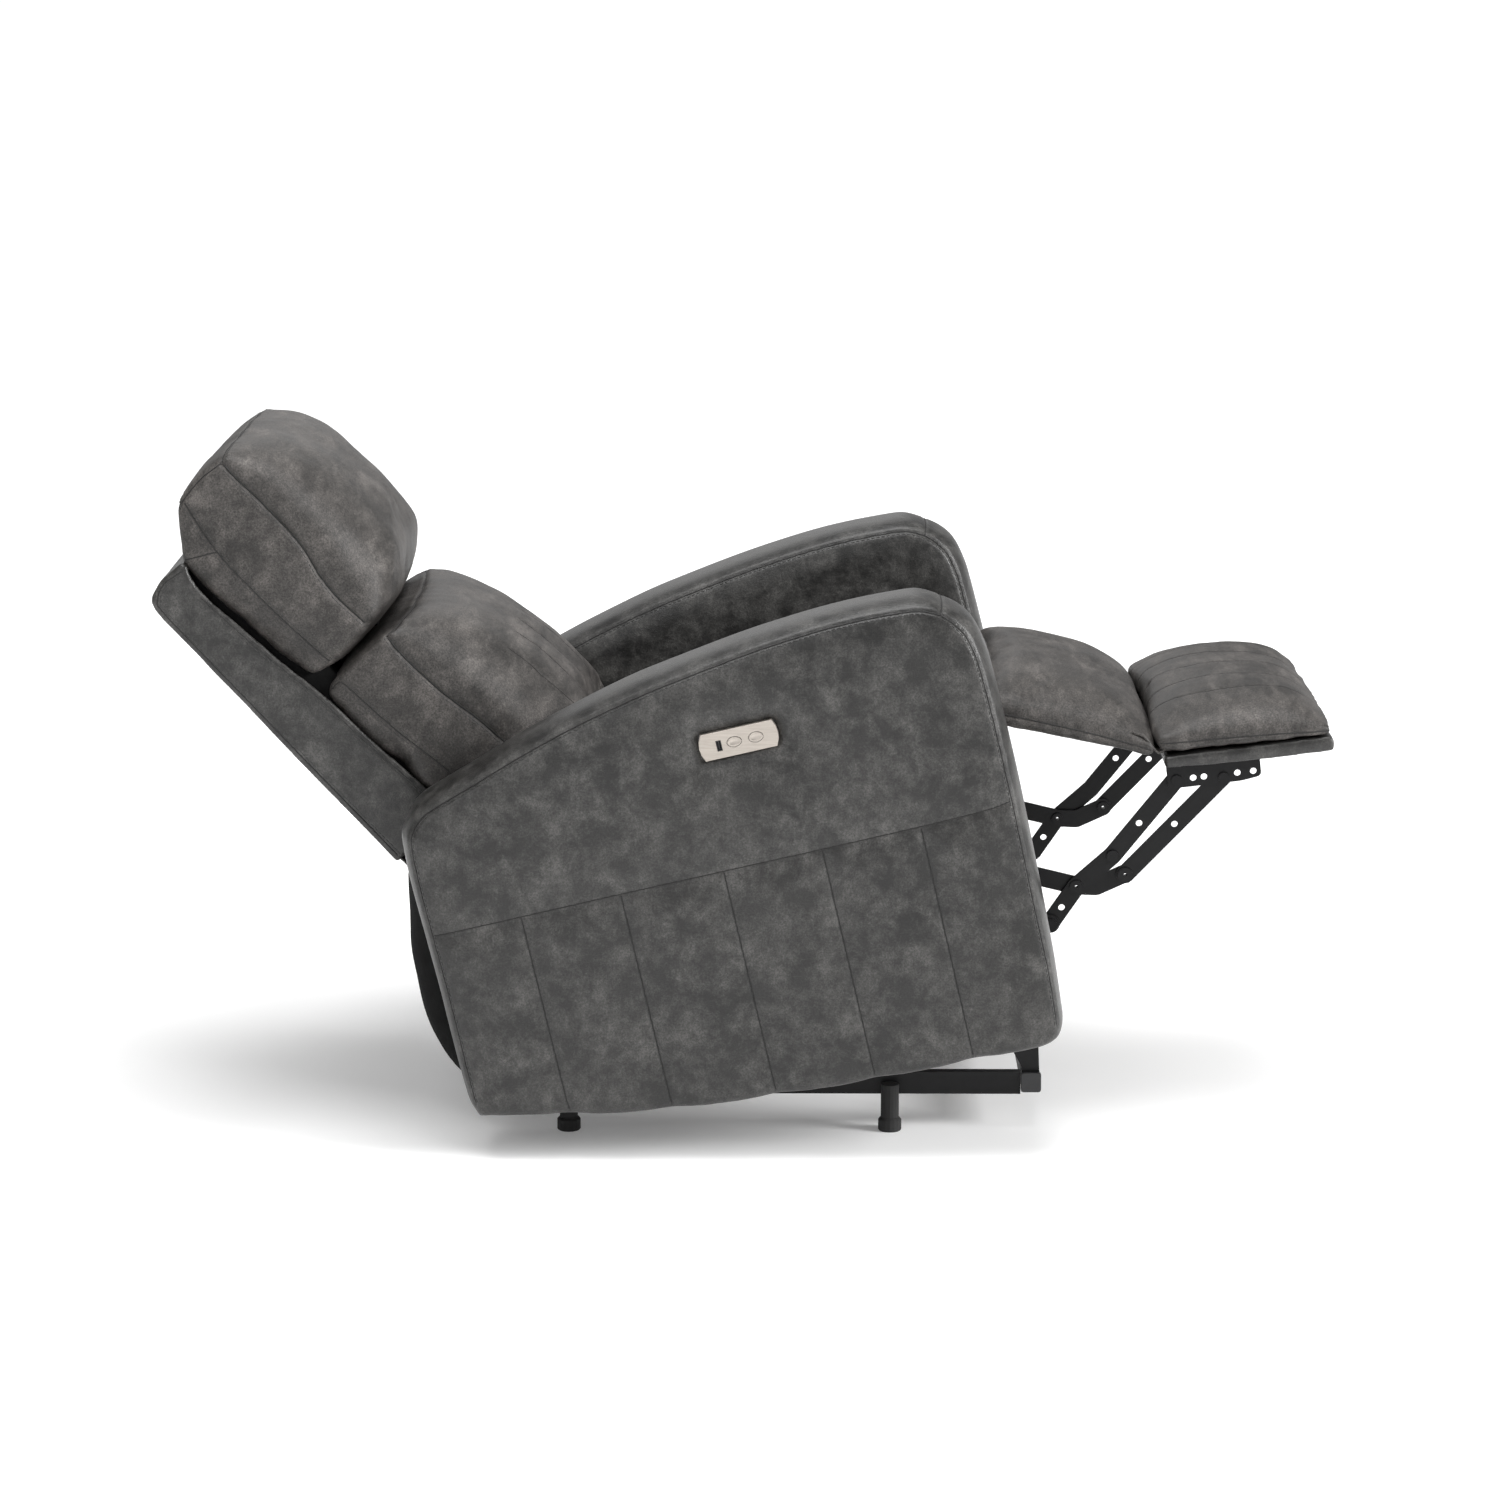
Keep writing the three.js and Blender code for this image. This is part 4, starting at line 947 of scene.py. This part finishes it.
def gap_shade_lining():
    """Black lining stretched over the frame, seen in the gap between cushions and shell: partly lining, partly a
    dark sheet that paints the shade of that gap.
    """
    outline = closed_loop([(27, 108), (27, 556)], [(27, 556), (36, 565), (116, 565), (125, 556)],
                          [(125, 556), (125, 112)], [(125, 112), (112, 102), (42, 100), (27, 108)], step=14)
    parts = []
    for side in (1, -1):
        rings = [[(side * x, y, z) for y, z in outline] for x in (189, 231)]
        parts.append(loft("gap_shade_lining", BACK, rings, DUST_CLOTH_AND_SHADE))
    return join_into(*parts)


def cover_bulge(x):
    """How far the cover stands out behind its side edges, from 1 at the middle to 0."""
    return 1 - (abs(x) / COVER_HALF) ** 6


def dust_cover():
    """Black cloth stretched behind the mechanism, from one arm's rear edge to the other's."""
    line = [(374, 214), (394, 122), (401, 61), (399, 11), (384, -36), (356, -69), (320, -84)]
    run = smooth_run(line, 10)
    bm = bmesh.new()
    rows = []
    for x in across(COVER_HALF, 20):
        bulge = cover_bulge(x)
        row = []
        for y, z in run:
            sag = 4 * noise.noise(Vector((x / 90, z / 70, 3.7)))
            row.append(bm.verts.new(SEAT @ Vector((x, COVER_EDGE_Y + (y + sag - COVER_EDGE_Y) * bulge, z))))
        rows.append(row)
    for a, b in zip(rows, rows[1:]):
        for i in range(len(run) - 1):
            bm.faces.new((a[i], b[i], b[i + 1], a[i + 1]))
    mesh = bpy.data.meshes.new("dust_cover")
    bm.to_mesh(mesh)
    bm.free()
    return new_object("dust_cover", mesh, DUST_CLOTH_AND_SHADE)


def rear_flap():
    """Leather from the top of the dust cover, which it follows, to the bottom of the back tray."""
    low = [(364, 190), (371, 212), (371, 232)]
    high = [SEAT.inverted() @ BACK @ Vector((0, y, z)) for y, z in ((131, 104), (132, 124))]

    def with_cover(x, y, z):
        share = min(max((high[0].z - z) / (high[0].z - low[1][1]), 0), 1)
        return (y - COVER_EDGE_Y) * (1 - cover_bulge(x)) * share

    return strip("rear_flap", SEAT, low + [(p.y, p.z) for p in high], SHELL_HALF - 4, 3, LEATHER,
                 with_cover)


# ---------------------------------------------------------------- floor
FLOOR_HALF = 90


def add_floor():
    """A pale floor that glows, more strongly away from the chair, so that it meets the background: painted light.
    """
    mesh = bpy.data.meshes.new("floor")
    corners = [(x, y, 0) for x, y in ((-1, -1), (1, -1), (1, 1), (-1, 1))]
    mesh.from_pydata([(x * FLOOR_HALF, y * FLOOR_HALF, z) for x, y, z in corners], [], [(0, 1, 2, 3)])
    look = Nodes("pale_floor")
    # Painted light: the floor's emission grows with distance from the chair.
    away = look.add("VectorMath", operation="LENGTH")
    look.link(look.place, away.inputs[0])
    glow = look.add("MapRange")
    for socket, value in (("From Min", 0.8), ("From Max", 5.0), ("To Min", 0.15), ("To Max", 0.68)):
        glow.inputs[socket].default_value = value
    look.link(away.outputs["Value"], glow.inputs["Value"])
    look.link(glow.outputs["Result"], look.shader.inputs["Emission Strength"])
    tone = look.ramp(look.noise(3, 3), (0.3, 0.88), (0.7, 0.90))
    look.finish(tone, 0.8, emission_color=(1, 1, 1, 1))
    new_object("floor", mesh, look.material)


# ---------------------------------------------------------------- putting it together
# The pads' worn leather is matt and rubbed, and its lighter colours are also painted light on the pads' upward and
# forward faces; the grey leather's darker colours are partly painted shade on the arms' sides.
LEATHER = leather_material("grey_leather", (0.0042, 0.0040, 0.0037), (0.0158, 0.0153, 0.0144),
                           (0.058, 0.0563, 0.0533), (1, 1, 1), 0.47, 0.31)
WORN_AND_LIT_LEATHER = leather_material("worn_and_lit_leather", (0.0172, 0.0159, 0.0148), (0.0345, 0.0318, 0.0297),
                                (0.081, 0.0740, 0.0690), (0.4, 1, 1), 0.35, 0.44)
THREAD = thread_material()
SEAM_SHADE = seam_shade_material()
STEEL = steel_material()
SPRING = spring_material()
PLYWOOD = plywood_material()
RUBBER = plastic_material("rubber", (0.012, 0.012, 0.012), 0.8)
PLASTIC = plastic_material("black_plastic", (0.011, 0.011, 0.012), 0.45)
SATIN = satin_material()
DUST_CLOTH_AND_SHADE = dust_cloth_and_shade_material()

SLOT_MATERIALS = {"leather": LEATHER, "black_steel": STEEL, "plywood": PLYWOOD, "rubber": RUBBER,
                  "black_plastic": PLASTIC, "satin_metal": SATIN, "spring_steel": SPRING,
                  "dust_cloth": DUST_CLOTH_AND_SHADE}


def dress_cad():
    """Each CAD node gets its slot's material and softly broken edges."""
    slots = {s["node"]: s["material_slot"] for s in frame["record"]["subparts"]}
    for name, obj in frame["nodes"].items():
        obj.data.materials.clear()
        obj.data.materials.append(SLOT_MATERIALS[slots[name]])
        bevel = obj.modifiers.new("seam_shade_tubes", "BEVEL")
        bevel.width, bevel.segments = 0.0006, 2
        bevel.limit_method, bevel.angle_limit = "ANGLE", math.radians(40)
        bevel.harden_normals = False
        for face in obj.data.polygons:
            face.use_smooth = True
        smooth = obj.modifiers.new("shade", "EDGE_SPLIT")
        smooth.split_angle = math.radians(40)


def place(obj, body, *nodes, slot="leather", fill=None):
    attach(obj, body)
    if nodes:
        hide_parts(*nodes)


add_camera()
add_studio()
dress_cad()

head, waist, seat, calf_piece, foot = headrest(), lumbar(), seat_pad(), calf_pad(), foot_pad()
sewing = {head: headrest_seams(), waist: lumbar_seams(), seat: seat_seams(), calf_piece: calf_seams(),
          foot: foot_seams()}
caps = {head: 10, waist: 10, seat: 6, calf_piece: 7, foot: 7}
inflate([(piece, [p for sewn in sewing[piece] if sewn["depth"] > HOLDING_DEPTH for p in sewn["path"]],
          cap) for piece, cap in caps.items()])
for number, (piece, seams) in enumerate(sewing.items()):
    rumple(piece, 2.0, 75, number)
    rumple(piece, 0.7, 24, number + 10)
    subdivide(piece)
    sew(piece, seams, seed=number)

arms = {}
for side_name, sign in SIDES:
    arms[side_name] = arm(f"arm_{side_name}", sign)
    rumple(arms[side_name], 1.2, 120, 20)
    subdivide(arms[side_name])
    if sign < 0:
        dimple(arms[side_name])
    sew(arms[side_name], arm_seams(sign), puff=3.2, reach=24, seed=30 + sign)
tray = shell()
rumple(tray, 1.2, 90, 40)
sew(tray, shell_seams(), seed=41)
wrap = ottoman_wrap()
cover, flap = dust_cover(), rear_flap()
knee = knee_strip()
toe = toe_strip()
lining = gap_shade_lining()

place(head, "headrest", "headrest_cushion", fill=0.9)
place(waist, "backrest", "lumbar_cushion", fill=0.9)
place(seat, "seat_unit", "seat_cushion", fill=0.9)
place(calf_piece, "calf_rest", "calf_cushion", "calf_board", fill=0.85)
place(foot, "ottoman", "foot_cushion", fill=0.85)
for side_name, sign in SIDES:
    place(arms[side_name], "seat_unit", f"arm_pad_{side_name}", fill=0.9)
place(tray, "backrest", "back_shell")
place(wrap, "ottoman", "ottoman_board")
place(lining, "backrest", slot="dust_cloth")
place(cover, "seat_unit", "rear_dust_cover", slot="dust_cloth")
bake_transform(knee)

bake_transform(flap)
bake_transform(toe)

add_floor()

bpy.context.view_layer.update()
